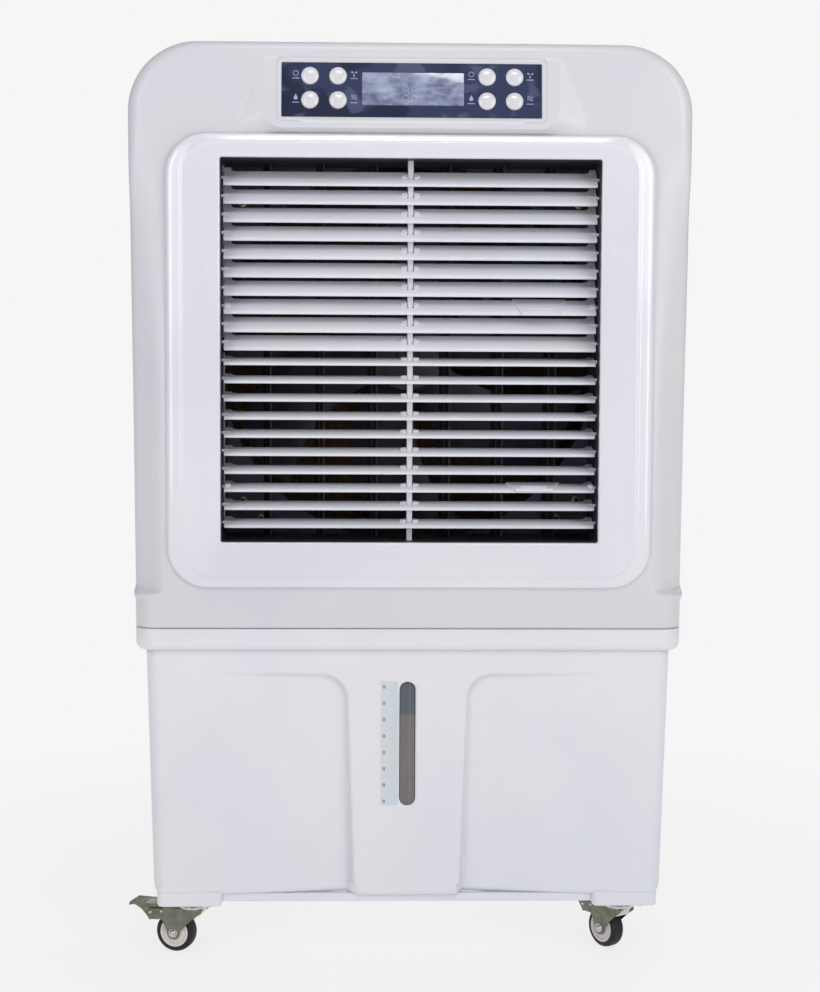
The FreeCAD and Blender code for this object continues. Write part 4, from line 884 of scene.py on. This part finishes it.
def control_panel():
    """Membrane with its display, faint symbols, and the holes that the buttons stand in."""
    half, rise, drop = PANEL_X - 0.3, PANEL_RISE - 0.3, PANEL_DROP - 0.3
    outline = rounded([(-half, -drop), (half, -drop), (half, rise), (-half, rise)], 4, step=5, arc=15)
    holes = [[(x + across, hand * BUTTON_ROW + up) for across, up, _ in circle(BUTTON_R + 0.3, 0, 36)]
             for x in BUTTON_X for hand in (1, -1)]
    lcd = rounded([(-59, -20.2), (62, -20.2), (62, 19.2), (-59, 19.2)], 1.5, step=5, arc=30)
    grid = np.array([(x, z) for x in spread((-155, 155, 6)) for z in spread((-32, 32, 6))])
    guards = [rounded_by(loop, 0.6) for loop in holes + [lcd]] + [rounded_by(outline, -0.6)]
    at, faces = sheet_fill(outline, holes + [lcd], guards, grid)
    shape = Shape().add([on_pod(x, y, -PANEL_SINK) for x, y in at], faces.tolist())
    skin = shape.make("membrane", FILM, slot="panel_navy", stands_for=["control_panel"])
    face_out(skin, (0, -1, 0))
    thicken(skin, 2.0)
    lens = Shape().block((-59.2, -20.4, -PANEL_SINK - 2.4), (62.2, 19.4, -PANEL_SINK - 0.5), 0.5, pod_place(0, 0))
    lens.make("display", DISPLAY, slot="panel_navy")
    digits = Shape()
    for x in (-7.0, 3.0):
        for y in (-2.5, -13.5):
            seven_segments(digits, x, y, 6.6, 9.5)
    for x in (-52.0, -38.0, -24.0):
        digits.block((x, 12.6, 0), (x + 9, 14.2, PRINT_GAUGE), 0.05, pod_place(0, 0, LENS_FACE))
    digits.make("display_segments", PRINT, slot="panel_navy")
    symbols = Shape()
    for column, x in enumerate((-137.5, -68.5, 70.5, 140.5)):
        for row, hand in enumerate((1, -1)):
            symbol(symbols, x, hand * BUTTON_ROW + 3, column * 2 + row)
    symbols.make("panel_symbols", PRINT, slot="panel_navy")


def seven_segments(shape, x, y, width, height):
    """Outline of an unlit display digit."""
    place, gauge = pod_place(0, 0, LENS_FACE), 0.7
    for level in (0.0, 0.5, 1.0):
        shape.block((x - width / 2 + 0.8, y + height * (level - 0.5) - gauge / 2, 0),
                    (x + width / 2 - 0.8, y + height * (level - 0.5) + gauge / 2, PRINT_GAUGE), 0.05, place)
    for hand in (-1, 1):
        for level in (-0.25, 0.25):
            middle = y + height * level
            shape.block((x + hand * width / 2 - gauge / 2, middle - height / 4 + 0.8, 0),
                        (x + hand * width / 2 + gauge / 2, middle + height / 4 - 0.8, PRINT_GAUGE), 0.05, place)


def symbol(shape, x, y, kind):
    """A small generic mark over a short bar: ring, drop, fan or wave."""
    place = pod_place(x, y, -PANEL_SINK - 0.02)
    if kind % 4 == 0:
        shape.lathe([(3.3, 0), (3.3, PRINT_GAUGE), (2.6, PRINT_GAUGE), (2.6, 0)], place, 24, ring=True)
    elif kind % 4 == 1:
        corners = [(0, 4.2), (-2.6, -0.6), (-1.6, -2.8), (1.6, -2.8), (2.6, -0.6)]
        shape.slab(rounded(corners, [0, 1.5, 1.2, 1.2, 1.5]), PRINT_GAUGE, place)
    elif kind % 4 == 2:
        leaf = rounded([(0.5, 0.2), (3.8, 0.6), (3.2, 2.6), (1.0, 1.4)], 0.4)
        for turn in range(3):
            shape.slab(leaf, PRINT_GAUGE, place @ Matrix.Rotation(math.tau * turn / 3, 4, "Z"))
    else:
        for level in (-1.8, 0.2, 2.2):
            wave = [(-3.4 + 6.8 * i / 12, level + 0.7 * math.sin(math.tau * i / 12)) for i in range(13)]
            shape.slab(wave + [(px, py + 0.7) for px, py in wave[::-1]], PRINT_GAUGE, place)
    shape.block((-4.2, -6.6, 0), (4.2, -5.6, PRINT_GAUGE), 0.05, place)


def buttons():
    """Eight domed caps with a hidden flange."""
    places = [(x, row) for row in (BUTTON_ROW, -BUTTON_ROW) for x in BUTTON_X]
    profile = [(0, 3.5), (2.4, 3.42), (4.8, 3.18), (6.9, 2.76), (8.6, 2.16), (9.6, 1.6), (10.2, 1.05),
               (10.45, 0.4), (BUTTON_R, -0.4), (BUTTON_R, -2.3), (12.0, -2.3), (12.0, -3.8), (0, -3.8)]
    for index, (x, row) in enumerate(places, start=1):
        body = f"button_{index}"
        cap = Shape().lathe(profile, pod_place(x, row, -PANEL_SINK), 56)
        cap.make(f"button_cap_{index}", CAP, body=body, slot="button_white", stands_for=[body], angle=40)


# ---------------------------------------------------------------- fan, pad, grille, screws

def fan_section(share, start):
    """Closed loop round a blade's cambered section, at a share of its span from the hub."""
    r = FAN_HUB + (FAN_TIP - FAN_HUB) * share
    pitch = math.radians(40 - 17 * share)
    chord = 74 + 46 * math.sin(math.pi * min(share, 0.92) * 0.62)
    sweep = math.radians(9 + 26 * share ** 1.6)
    ring = []
    for side in (1, -1):
        for j in range(13)[::side]:
            a = j / 12 - 0.5
            gauge = 1.7 * (1 - (2 * abs(a)) ** 4) + 0.25
            along, out = a * chord, 0.16 * chord * (0.25 - a * a) + side * gauge
            turned = start + sweep + (along * math.cos(pitch) - out * math.sin(pitch)) / r
            height = 45 + along * math.sin(pitch) * 0.82 + out * math.cos(pitch)
            ring.append((r * math.cos(turned), r * math.sin(turned), height))
    return ring


def fan():
    """Moulded fan: hub and shaft, and curved, raked blades."""
    (low, high), shape = span("fan_impeller"), Shape()
    stand, blades, stations = seat(0, 0, (low[2] + high[2]) / 2), 6, 11
    shape.lathe([(0, 75), (14, 75), (16, 73), (40, 73), (47, 70.5), (51, 65), (52, 58), (52, 15), (48, 15),
                 (48, 60), (0, 60)], stand, 72)
    shape.lathe([(0, 62), (6, 62), (6, -56), (0, -56)], stand, 24)
    for turn in range(blades):
        shape.loft([fan_section(k / (stations - 1), math.tau * turn / blades) for k in range(stations)], stand)
    shape.make("fan", FAN, body="fan_impeller", slot="fan_grey", stands_for=["fan_impeller"], angle=30)


def shroud_screws():
    """Brass-plated washers under dark cross-recessed screws."""
    shape, plate = Shape(), span("fan_shroud")[0][1]
    for x, z in ((-209, 562), (-186, 539), (214.6, 563.6), (190, 540), (-209, 938), (214.6, 938)):
        stand = seat(x, plate, z)
        shape.lathe([(2.2, 0), (6.35, 0), (6.35, 0.6), (6.0, 1.0), (3.2, 1.5), (2.2, 1.5), (2.2, 0)], stand, 32)
        shape.lathe([(0, 3.0), (1.4, 2.95), (2.6, 2.6), (3.2, 1.9), (3.3, 1.2), (0, 1.2)], stand, 28, mark=1)
    shape.make("shroud_washers", [BRASS, DARK], slot="screw_brass", stands_for=["shroud_screws"], angle=40)


def cooling_pad():
    """Honeycomb pad: corrugated sheets whose flutes cross, seen at their open ends."""
    low, high = span("cooling_pad")
    shape, loops = Shape(), []
    columns, rows, pitch, deep = 136, 148, 14, 5.0
    for hand, y in ((-1, low[1]), (1, high[1])):
        points = []
        for i in range(columns + 1):
            x = low[0] + (high[0] - low[0]) * i / columns
            for j in range(rows + 1):
                z = low[2] + (high[2] - low[2]) * j / rows
                within = 0 < i < columns and 0 < j < rows
                lean = 0.8 * (z - low[2]) * (1 if (i // 2) % 2 else -1)
                flute = 0.5 + 0.5 * math.sin((x + lean) * math.tau / pitch)
                points.append((x, y - hand * deep * flute * within, z))
        up = rows + 1
        shape.add(points, [[k, k + up, k + up + 1, k + 1] for k in range(columns * up) if k % up < rows])
        border = [i * up for i in range(columns + 1)] + [columns * up + j for j in range(1, up)]
        border += [i * up + rows for i in range(columns)[::-1]] + list(range(1, rows))[::-1]
        loops.append([points[k] for k in border])
    shape.loft(loops, caps=False)
    shape.make("pad", PAD, slot="pad_brown", stands_for=["cooling_pad"], angle=50)


def rear_grille():
    """Intake frame: rounded border, sloping slats, three ribs, and screws in its corners."""
    low, high = span("rear_grille")
    half, middle, face, border, slats, pitch = high[0], (low[2] + high[2]) / 2, high[1], 18, 19, 29.2
    shape, rings = Shape(), []
    for inset, y, radius in ((0, low[1], 12), (0, face - 3.0, 12), (0.9, face - 0.9, 11), (3.0, face, 9),
                             (15, face, 5), (17, face - 0.8, 4), (border, face - 2.4, 3), (border, low[1], 3)):
        loop = frame_loop(half - inset, low[2] + inset, high[2] - inset, radius, side=8)
        rings.append([(x, y, z) for x, z in loop])
    shape.loft(rings, wrap=True)
    slat = rounded([(low[1] + 0.3, 3.4), (low[1] + 0.3, 1.4), (face - 2.2, -5.4), (face - 1.6, -4.2),
                    (face - 1.8, -2.6)], [0.4, 0.4, 0.5, 0.4, 0.7], arc=30)
    for i in range(slats):
        z = low[2] + border + (i + 1) * pitch
        shape.loft([[(x, y, z + rise) for y, rise in slat] for x in (-half + 17, half - 17)])
    for x in (-half / 2, 0, half / 2):
        shape.block((x - 2, low[1], low[2] + 17), (x + 2, face - 1.0, high[2] - 17), 0.9)
    shape.make("intake_grille", GRILLE, slot="grille_white", stands_for=["rear_grille"], angle=40)
    screws = Shape()
    for x in (-half + 9, half - 9):
        for z in (low[2] + 9, middle, high[2] - 9):
            screws.lathe([(0, 1.3), (1.6, 1.25), (2.9, 0.7), (3.3, 0.0), (3.3, -0.6), (0, -0.6)],
                         seat(x, face, z, -1), 24)
    screws.make("grille_screws", STEEL, slot="screw_brass", angle=40)


# ---------------------------------------------------------------- water tank

def tank_face(z):
    """Depth of the tank's drafted front."""
    return -TANK_DEPTH + (TANK_TOP - z) * DRAFT


def recess(x, z):
    """How deep the two front panels sink beside the middle column."""
    share = (RECESS_TOP - z) / (RECESS_TOP - TANK_BASE)
    inner = 74.0 - 9.5 * share
    sink = 9.0 + 8.0 * share
    across = np.abs(x + 1.6) - inner
    slope = sink * soft_plus(RECESS_FADE - np.abs(x), 7.0) / (RECESS_FADE - inner)
    wall = 3.6 * soft_plus(corner_depth(across, RECESS_TOP - z, 30.0), 1.0)
    return np.maximum(soft_min(slope, wall, 1.6) - 0.15, 0.0)


def tank_path():
    low = TANK_HALF - (TANK_TOP - TANK_BASE) * DRAFT
    return rounded([(-TANK_HALF, TANK_TOP), (-low, TANK_BASE), (low, TANK_BASE), (TANK_HALF, TANK_TOP)],
                   [0, 15.5, 15.5, 0], step=8, arc=7.5, closed=False)


def tank_radius(x, z):
    return 18 - 9 * smooth((TANK_BASE + 14 - z) / 12)


def stadium(grow, steps=14):
    """Upright slot with round ends, as (x, z)."""
    half, loop = SIGHT_HALF + grow, []
    for middle, start in ((SIGHT_HIGH - SIGHT_HALF, 0), (SIGHT_LOW + SIGHT_HALF, math.pi)):
        turns = [start + math.pi * k / steps for k in range(steps + 1)]
        loop += [(SIGHT_X + half * math.cos(t), middle + half * math.sin(t)) for t in turns]
    return rounded(loop, 0, step=8)


def water_tank():
    """Tank body in two halves of one skin, rim, foot pads, rails and spouts."""
    path, side = tank_path(), [(0, 0.0), (-90, 0.0), (-160, 0.0)]

    def front(x, z):
        return tank_face(z) + recess(x, z)

    def back(x, z):
        return tank_face(z)

    shell = Shell(path, False, front, tank_radius)
    shell.edge(side)
    xs = mirrored(spread((0, 54, 6), (54, 92, 1.8), (92, 205, 9), (205, 245, 4), (245, 311, 9)))
    zs = spread((TANK_BASE + 3, 325, 7), (325, 372, 1.8), (372, 386, 5))
    shell.fill(xs, zs, [stadium(0.3)])
    rear = Shell(path, False, back, tank_radius, hand=-1)
    rear.edge(side)
    rear.fill(mirrored(spread((0, 311, 9))), spread((TANK_BASE + 6, 372, 14), (372, 386, 5)))
    shell.shape.add(rear.shape.points, rear.shape.faces)
    skin = shell.shape.make("tank_shell", TANK, slot="tank_white", stands_for=["water_tank"], angle=40)
    outward_from_middle(skin)
    thicken(skin, WALL)

    def flat_ring(inset, z, radius, side):
        loop = frame_loop(HALF_BASE - inset, -BACK + inset, BACK - inset, radius, side=side)
        return [(x, y, z) for x, y in loop]

    rim = [(9.0, RIM_LOW), (5.6, RIM_LOW + 0.7), (2.6, RIM_LOW + 2.6), (0.7, RIM_LOW + 5.6), (0.0, RIM_LOW + 9.0),
           (0.0, PARTING - 1.0), (0.3, PARTING - 0.3), (1.0, PARTING), (14.0, PARTING), (14.0, RIM_LOW)]
    rings = [flat_ring(inset, z, 28 - inset, 20) for inset, z in rim]
    Shape().loft(rings, wrap=True).make("tank_rim", TANK, slot="tank_white", angle=35)
    top, foot = span("water_tank")[1][2], RIM_TOP - 12
    lip = [(4.0, foot), (4.0, top - 0.6), (4.6, top), (6.4, top), (7.0, top - 0.6), (7.0, foot)]
    rings = [flat_ring(inset, z, 24, 12) for inset, z in lip]
    Shape().loft(rings, wrap=True).make("tank_lip", TANK, slot="tank_white")

    feet = Shape()
    for sx in (-1, 1):
        for sy in (-1, 1):
            foot_pad(feet, sx, sy)
    for y in (-188, 178):
        feet.block((-230.5, y, FOOT_BASE + 4.2), (230.5, y + 10, TANK_BASE + 1), 1.6)
    feet.make("tank_feet", TANK, slot="tank_white", angle=35)

    spouts = Shape()
    for x, z in ((-200, 112), (200, 345)):
        spouts.lathe([(8, 0), (16, 0), (16, 7.9), (15.4, 8.5), (11, 8.5), (11, 26.8), (10.4, 28), (8.6, 28),
                      (8, 27.4), (8, 0)], seat(x, TANK_DEPTH - 8, z, -1), 48)
    spouts.make("tank_spouts", TANK, slot="tank_white", angle=35)


def outward_from_middle(thing):
    """Turn a skin so that it faces away from the object's middle axis."""
    mesh = thing.data
    middle = sum((v.co for v in mesh.vertices), Vector()) / len(mesh.vertices)
    total = sum(f.area * f.normal.dot(f.center - middle) for f in mesh.polygons)
    if total < 0:
        mesh.flip_normals()


def foot_pad(shape, sx, sy):
    """Block under a corner of the tank with the square seat of a caster plate in its underside."""
    x0, x1, y0, y1 = 229.4, 309.7, 116.0, 197.4
    middle, side = ((x0 + x1) / 2, (y0 + y1) / 2), ((x1 - x0) / 2, (y1 - y0) / 2)
    rings = []

    def ring(half_x, half_y, radius, z, centre):
        rings.append([(sx * (centre[0] + x), sy * (centre[1] + y), z)
                      for x, y in frame_loop(half_x, -half_y, half_y, radius, side=6)])

    for inset, z in ((1.5, TANK_BASE + 4.6), (0.2, TANK_BASE + 3.0), (0.0, FOOT_BASE + 3.2),
                     (0.5, FOOT_BASE + 1.4), (1.6, FOOT_BASE + 0.3), (3.2, FOOT_BASE)):
        ring(side[0] - inset, side[1] - inset, 8 - inset, z, middle)
    for z in (FOOT_BASE, FOOT_BASE + 3.0):
        ring(29.3, 29.3, 3.5, z, (CASTER_X, CASTER_Y))
    shape.loft(rings)


def sight_window():
    """Smoky lens in its slot, with the graduated label beside it."""
    lens, rings = Shape(), []
    for grow, rise in ((-0.3, -2.4), (-0.3, -0.6), (-0.7, 0.0), (-2.2, 0.35), (-4.6, 0.5)):
        rings.append([(x, tank_face(z) + 0.5 - rise, z) for x, z in stadium(grow)])
    lens.loft(rings)
    lens.block((SIGHT_X + 1.6, tank_face(229) - 0.5, 226), (SIGHT_X + 7.0, tank_face(229) + 0.6, 232), 0.8)
    lens.make("sight_lens", LENS, slot="window_smoke", stands_for=["sight_window"], angle=40)
    face, half, rise, parts = label_place(LABEL_X, LABEL_Z), 10.6, 77.5, 8
    label = rounded([(-half, -rise), (half, -rise), (half, rise), (-half, rise)], 1.5)
    Shape().slab(label, 0.16, face).make("scale_label", LABEL, slot="tank_white")
    marks, ticks = Shape(), Shape()
    for i in range(SCALE_MARKS):
        z = SCALE_ZERO - LABEL_Z + i * SCALE_STEP
        marks.block((-8.4, z - 2.2, 0.1), (-5.0, z + 2.2, 0.28), 0.1, face)
    for i in range(SCALE_MARKS * parts):
        z = SCALE_ZERO - LABEL_Z + i * SCALE_STEP / parts - 4
        if z < rise - 2.5:
            ticks.block((2.4 if i % parts else -2.6, z - 0.35, 0.1), (9.4, z + 0.35, 0.26), 0.08, face)
    marks.make("scale_marks", MARK, slot="tank_white")
    ticks.make("scale_ticks", TICK, slot="tank_white")


def label_place(x, z):
    """Matrix of a local frame on the tank's front: X across, Y up the face, Z out of it."""
    lean = math.atan(DRAFT)
    turn = Matrix(((1, 0, 0), (0, -math.sin(lean), -math.cos(lean)), (0, math.cos(lean), -math.sin(lean))))
    return Matrix.Translation((x, tank_face(z), z)) @ turn.to_4x4()


# ---------------------------------------------------------------- casters

def caster_frame(sx, sy, heading):
    """Local frame of a caster: origin on the floor under its swivel axis, X away from the wheel."""
    turn = Matrix.Rotation(math.radians(heading), 4, "Z")
    return Matrix.Translation((sx * CASTER_X, sy * CASTER_Y, 0)) @ turn


def caster_plates():
    """Top plates with their bolts, fixed races and kingpins."""
    shape = Shape()
    for _, sx, sy, _, _ in CASTERS:
        place = caster_frame(sx, sy, 0.0)
        shape.block((-29, -29, 66.9), (29, 29, 69.4), 0.8, place)
        shape.lathe([(0, 69), (18.0, 69), (18.0, 66.2), (17.2, 64.6), (15.4, 63.5), (0, 63.5)], place, 56)
        shape.lathe([(0, 66), (4.0, 66), (4.0, 55.6), (7.5, 55.4), (7.5, 54.2), (6.4, 53.0), (3.6, 52.5),
                     (0, 52.5)], place, 32)
        for bx in (-1, 1):
            for by in (-1, 1):
                bolt = place @ Matrix.Translation((bx * 22.5, by * 22.5, 0))
                shape.lathe([(0, 64.6), (4.2, 64.6), (4.6, 65.0), (4.6, 67), (0, 67)], bolt, 6)
                shape.lathe([(0, 66.4), (5.4, 66.4), (5.4, 67), (0, 67)], bolt, 24)
    shape.make("caster_top_plates", STEEL, slot="caster_steel", stands_for=["caster_plates"], angle=35)


def yoke(name, place, braked):
    """Pressed fork: legs, roof, rounded front, race cup, axle with domed nuts, and rivets."""
    body = "caster_yoke_" + name
    shape = Shape()
    lug = [(-38, 55.2), (-57, 54.2), (-57.5, 48), (-50, 43), (-38, 40)]
    outline = [(-36, ROOF - 0.4)] + (lug if braked else [(-34.5, 56)])
    outline += [(-32.5, 28), (-30, 18.5), (-23, 15.6), (-16, 18.5), (-13.5, 28), (-6, 36), (8, 48.5),
                (15.5, 53.5), (15.5, ROOF - 0.4)]
    radii = [1] + ([2, 3.5, 3.5, 4, 5] if braked else [1]) + [6, 7, 9, 7, 6, 9, 12, 4, 1]
    leg = rounded(outline, radii, arc=14)
    outside = FORK_IN + FORK_GAUGE
    for hand in (-1, 1):
        sections = ((0.5, FORK_IN), (0, FORK_IN + 0.4), (0, outside - 0.7), (0.7, outside))
        shape.pressed(leg, [(inset, hand * y) for inset, y in sections], place)
    roof = rounded([(-36, -11.6), (15.5, -11.6), (15.5, 11.6), (-36, 11.6)], 1.2, arc=30)
    shape.slab(roof, FORK_GAUGE, place @ Matrix.Translation((0, 0, ROOF - FORK_GAUGE)))
    shape.make("yoke_" + name, STEEL, body=body, slot="caster_steel", stands_for=[body], angle=30)

    cup = Shape().lathe([(4.3, 62.4), (18.4, 62.7), (19.6, 62.2), (20.0, 61.2), (19.8, 59.6), (18.6, 58.0), (16.4, 56.6),
               (13.4, 55.9), (4.3, 55.9), (4.3, 62.4)], place, 64)
    sweep, brow, start, rings = [math.pi * (k / 16 - 0.5) for k in range(17)], 58.6, 2, []
    for reach, half, z in ((16.6, 12.2, brow), (15.2, 12.2, 55.6), (11.6, 12.2, 51.6), (7.2, 12.15, 47.4),
                           (5.6, 10.6, 47.7), (9.6, 10.4, 52.2), (13.2, 10.4, 56.0), (14.4, 10.4, 58.2)):
        rings.append([(start + reach * math.cos(a), half * math.sin(a), z - 0.25 * (1 - math.cos(a)) * (brow - z))
                      for a in sweep])
    cup.loft(rings, place, closed=False, caps=False, wrap=True)
    for end in (0, -1):
        cup.add([place @ Vector(ring[end]) for ring in rings], [list(range(len(rings)))])
    cup.make("race_" + name, CHROME, body=body, slot="caster_steel", angle=35)

    nuts = Shape()
    nut = [(0, 4.3), (1.4, 4.2), (2.7, 3.7), (3.7, 2.9), (4.3, 1.9), (4.5, 1.1), (5.6, 0.9), (5.9, 0.5),
           (5.9, -0.4), (0, -0.4)]
    rivet = [(0, 1.1), (1.0, 1.0), (1.7, 0.6), (2.0, 0.0), (2.0, -0.4), (0, -0.4)]
    for hand in (-1, 1):
        nuts.lathe(nut, place @ seat(-TRAIL, hand * outside, WHEEL_R, -hand), 40)
        for x, z in ((-53.7, 49.0), (-39.0, 51.4)) if braked else ():
            nuts.lathe(rivet, place @ seat(x, hand * outside, z, -hand), 20)
    axle = [(0, 0), (3, 0), (3, 2 * outside), (0, 2 * outside)]
    nuts.lathe(axle, place @ seat(-TRAIL, -outside, WHEEL_R, -1), 24)
    nuts.make("axle_" + name, CHROME, body=body, slot="caster_steel", angle=40)


def wheel(name, place):
    """Rubber tyre on a nylon hub with a raised ring and a steel bush."""
    body = "caster_wheel_" + name
    stand = place @ seat(-TRAIL, 0, WHEEL_R, -1)
    half = WHEEL_W / 2
    side = [(18.4, half - 0.2), (19.2, half - 0.05), (20.6, half - 0.05), (21.6, half - 0.4),
            (23.0, half - 1.1), (24.1, half - 2.2), (24.7, half - 3.6), (24.94, half - 5.2), (WHEEL_R, half - 7.6)]
    profile = side + [(r, -h) for r, h in side[::-1]]
    tyre = Shape().lathe(profile + [(18.4, -half + 0.2)], stand, 72, ring=True)
    tyre.make("tyre_" + name, RUBBER, body=body, slot="wheel_rubber", stands_for=[body], angle=35)
    face = [(6.2, half - 0.4), (7.0, half - 0.2), (9.6, half - 0.2), (10.2, half - 1.4), (14.6, half - 1.6),
            (15.4, half - 0.5), (16.2, half - 0.1), (18.0, half - 0.1), (18.5, half - 0.4)]
    hub = Shape().lathe(face + [(r, -h) for r, h in face[::-1]], stand, 72, ring=True)
    hub.make("hub_" + name, NYLON, body=body, slot="wheel_rubber", angle=35)
    bush = [(3.1, half), (6.0, half), (6.3, half - 0.3), (6.3, 0.3 - half), (6.0, -half), (3.1, -half)]
    Shape().lathe(bush, stand, 40, ring=True).make("bush_" + name, CHROME, body=body, slot="caster_steel", angle=35)


def pedal(name, place):
    """Brake pedal: lipped foot plate on two curved cheeks, with its shoe."""
    body = "brake_pedal_" + name
    shape = Shape()
    plate = [(-82, 56.2), (-82, 59.3), (-80.4, 60.8), (-46, 60.8), (-44, 60.2), (-44, 59), (-79.6, 59),
             (-80.2, 58.4), (-80.2, 56.2)]
    rings = []
    for y, inset in ((-13.8, 0.35), (-13.2, 0.0), (13.2, 0.0), (13.8, 0.35)):
        rings.append([(x + inset * (1 if x < -60 else -1), y, z - inset * 0.4) for x, z in plate])
    shape.loft(rings, place)
    for x in (-76, -70, -64):
        shape.block((x, -10, 60.6), (x + 2.4, 10, 61.0), 0.2, place)
    cheek = rounded([(-80.5, 59.4), (-80.5, 56), (-76, 56), (-68, 52), (-61, 45), (-55.5, 37.3), (-49, 43),
                     (-47.5, 52), (-44.5, 59.4)], [1, 1, 5, 14, 18, 2.2, 4, 8, 1], arc=12)
    for hand in (-1, 1):
        sections = ((0.4, 8.0), (0, 8.4), (0, 9.4), (0.4, 9.8))
        shape.pressed(cheek, [(inset, hand * y) for inset, y in sections], place)
    shape.block((-56, -9, 39), (-45, 9, 42), 0.6, place)
    shape.make("pedal_" + name, STEEL, body=body, slot="caster_steel", stands_for=[body], angle=32)


def casters():
    caster_plates()
    for name, sx, sy, heading, braked in CASTERS:
        place = caster_frame(sx, sy, heading)
        yoke(name, place, braked)
        wheel(name, place)
        if braked:
            pedal(name, place)


# ---------------------------------------------------------------- carried-over CAD nodes

def repaint(node, material, width=0.0):
    """Give a CAD node a detailed material, and soft edges where asked for."""
    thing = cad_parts[node]
    thing.data.materials.clear()
    thing.data.materials.append(material)
    if width:
        bevel = thing.modifiers.new("edges", "BEVEL")
        bevel.width = width * MM
        bevel.segments = 2
        bevel.limit_method = "ANGLE"
        bevel.angle_limit = math.radians(30)
        bevel.harden_normals = True


def carried_over():
    """Repaint the nodes that are shown as they were modelled."""
    for index in range(1, 7):
        repaint(f"swing_vane_{index}", VANE, 0.5)
    for node in ("link_bar_upper", "link_bar_lower"):
        repaint(node, LINK, 0.3)
    repaint("fan_shroud", SHROUD)
    repaint("fan_motor", MOTOR, 1.5)
    repaint("water_pump", PUMP, 1.0)


# ---------------------------------------------------------------- stage

def camera():
    """The view from a little left of the middle, slightly downwards."""
    data = bpy.data.cameras.new("camera")
    data.lens, data.sensor_width = 65.87, 36.0
    data.clip_start, data.clip_end = 0.05, 60
    thing = bpy.data.objects.new("camera", data)
    bpy.context.scene.collection.objects.link(thing)
    yaw, pitch, roll = math.radians(1.44), math.radians(4.26), math.radians(0.28)
    thing.matrix_world = (Matrix.Translation((-0.0547, -2.3989, 0.7403)) @ Matrix.Rotation(-yaw, 4, "Z")
                          @ Matrix.Rotation(math.pi / 2 - pitch, 4, "X") @ Matrix.Rotation(roll, 4, "Z"))
    bpy.context.scene.camera = thing


def lamp(name, place, target, size, power, color=(255, 255, 255)):
    """Rectangular soft light of a size in metres that looks at a target."""
    data = bpy.data.lights.new(name, "AREA")
    data.shape = "RECTANGLE"
    data.size, data.size_y = size
    data.energy = power
    data.color = rgb(color)[:3]
    thing = bpy.data.objects.new(name, data)
    thing.location = place
    thing.rotation_mode = "QUATERNION"
    thing.rotation_quaternion = (Vector(target) - Vector(place)).to_track_quat("-Z", "Y")
    bpy.context.scene.collection.objects.link(thing)


def floor_paint():
    """Pale floor that takes a soft shadow near the object and fades into the even backdrop."""
    paint = Paint("floor_pale", (240, 240, 240), 0.7)
    paint.color(paint.patches((250, 250, 249), (247, 247, 246), paint.noise(300), 0.3, 0.7, 0.4))
    glow = paint.node("ShaderNodeEmission")
    glow.inputs["Color"].default_value = rgb((246, 246, 246))
    far = paint.node("ShaderNodeVectorMath", operation="LENGTH")
    paint.link(paint.where, far.inputs[0])
    fade = paint.node("ShaderNodeMapRange", From_Min=0.3, From_Max=1.2, To_Min=0.84)
    paint.link(far.outputs["Value"], fade.inputs["Value"])
    both = paint.node("ShaderNodeMixShader")
    paint.link(fade.outputs["Result"], both.inputs[0])
    paint.link(paint.shader.outputs[0], both.inputs[1])
    paint.link(glow.outputs[0], both.inputs[2])
    paint.link(both.outputs[0], paint.tree.nodes["Material Output"].inputs["Surface"])
    return paint.material


def studio():
    """Pale floor and surroundings, soft boxes in front, above and behind, and two strips and a brow for gloss."""
    bpy.context.scene.view_settings.view_transform = "Standard"
    world = bpy.data.worlds.new("studio")
    world.use_nodes = True
    tree = world.node_tree
    back = tree.nodes["Background"]
    lit = tree.nodes.new("ShaderNodeBackground")
    seen = tree.nodes.new("ShaderNodeLightPath")
    choose = tree.nodes.new("ShaderNodeMixShader")
    back.inputs["Color"].default_value = rgb((232, 232, 236))
    back.inputs["Strength"].default_value = 0.38
    lit.inputs["Color"].default_value = rgb((246, 246, 246))
    tree.links.new(seen.outputs["Is Camera Ray"], choose.inputs[0])
    tree.links.new(back.outputs[0], choose.inputs[1])
    tree.links.new(lit.outputs[0], choose.inputs[2])
    tree.links.new(choose.outputs[0], tree.nodes["World Output"].inputs["Surface"])
    bpy.context.scene.world = world
    middle = (0, 0, 0.6)
    lamp("left", (-2.3, -3.0, 1.7), middle, (2.0, 1.8), 15, (254, 254, 255))
    lamp("right", (2.4, -2.9, 1.8), middle, (2.0, 1.8), 27, (255, 254, 253))
    lamp("top", (0, -1.2, 3.2), (0, 0, 1.0), (2.4, 1.6), 6)
    lamp("strip_left", (-1.45, -2.3, 1.15), (0, -0.2, 0.75), (0.2, 1.5), 4)
    lamp("strip_right", (1.5, -2.35, 1.0), (0, -0.2, 0.7), (0.2, 1.4), 4)
    lamp("brow", (0.1, -2.6, 3.0), (0, -0.2, 0.8), (1.1, 0.5), 19)
    lamp("rear", (0.6, 3.2, 2.2), middle, (2.4, 2.4), 44)
    reach = 30.0
    mesh = bpy.data.meshes.new("floor")
    corners = [(-reach, -reach, 0), (reach, -reach, 0), (reach, reach, 0), (-reach, reach, 0)]
    mesh.from_pydata(corners, [], [(0, 1, 2, 3)])
    floor = bpy.data.objects.new("floor", mesh)
    bpy.context.scene.collection.objects.link(floor)
    mesh.materials.append(floor_paint())


# ---------------------------------------------------------------- the whole cooler

camera()
studio()
front_housing()
rear_housing()
louvre_frame()
for blade in BLADES:
    louvre_blade(blade)
control_panel()
buttons()
fan()
shroud_screws()
cooling_pad()
rear_grille()
water_tank()
sight_window()
casters()
carried_over()
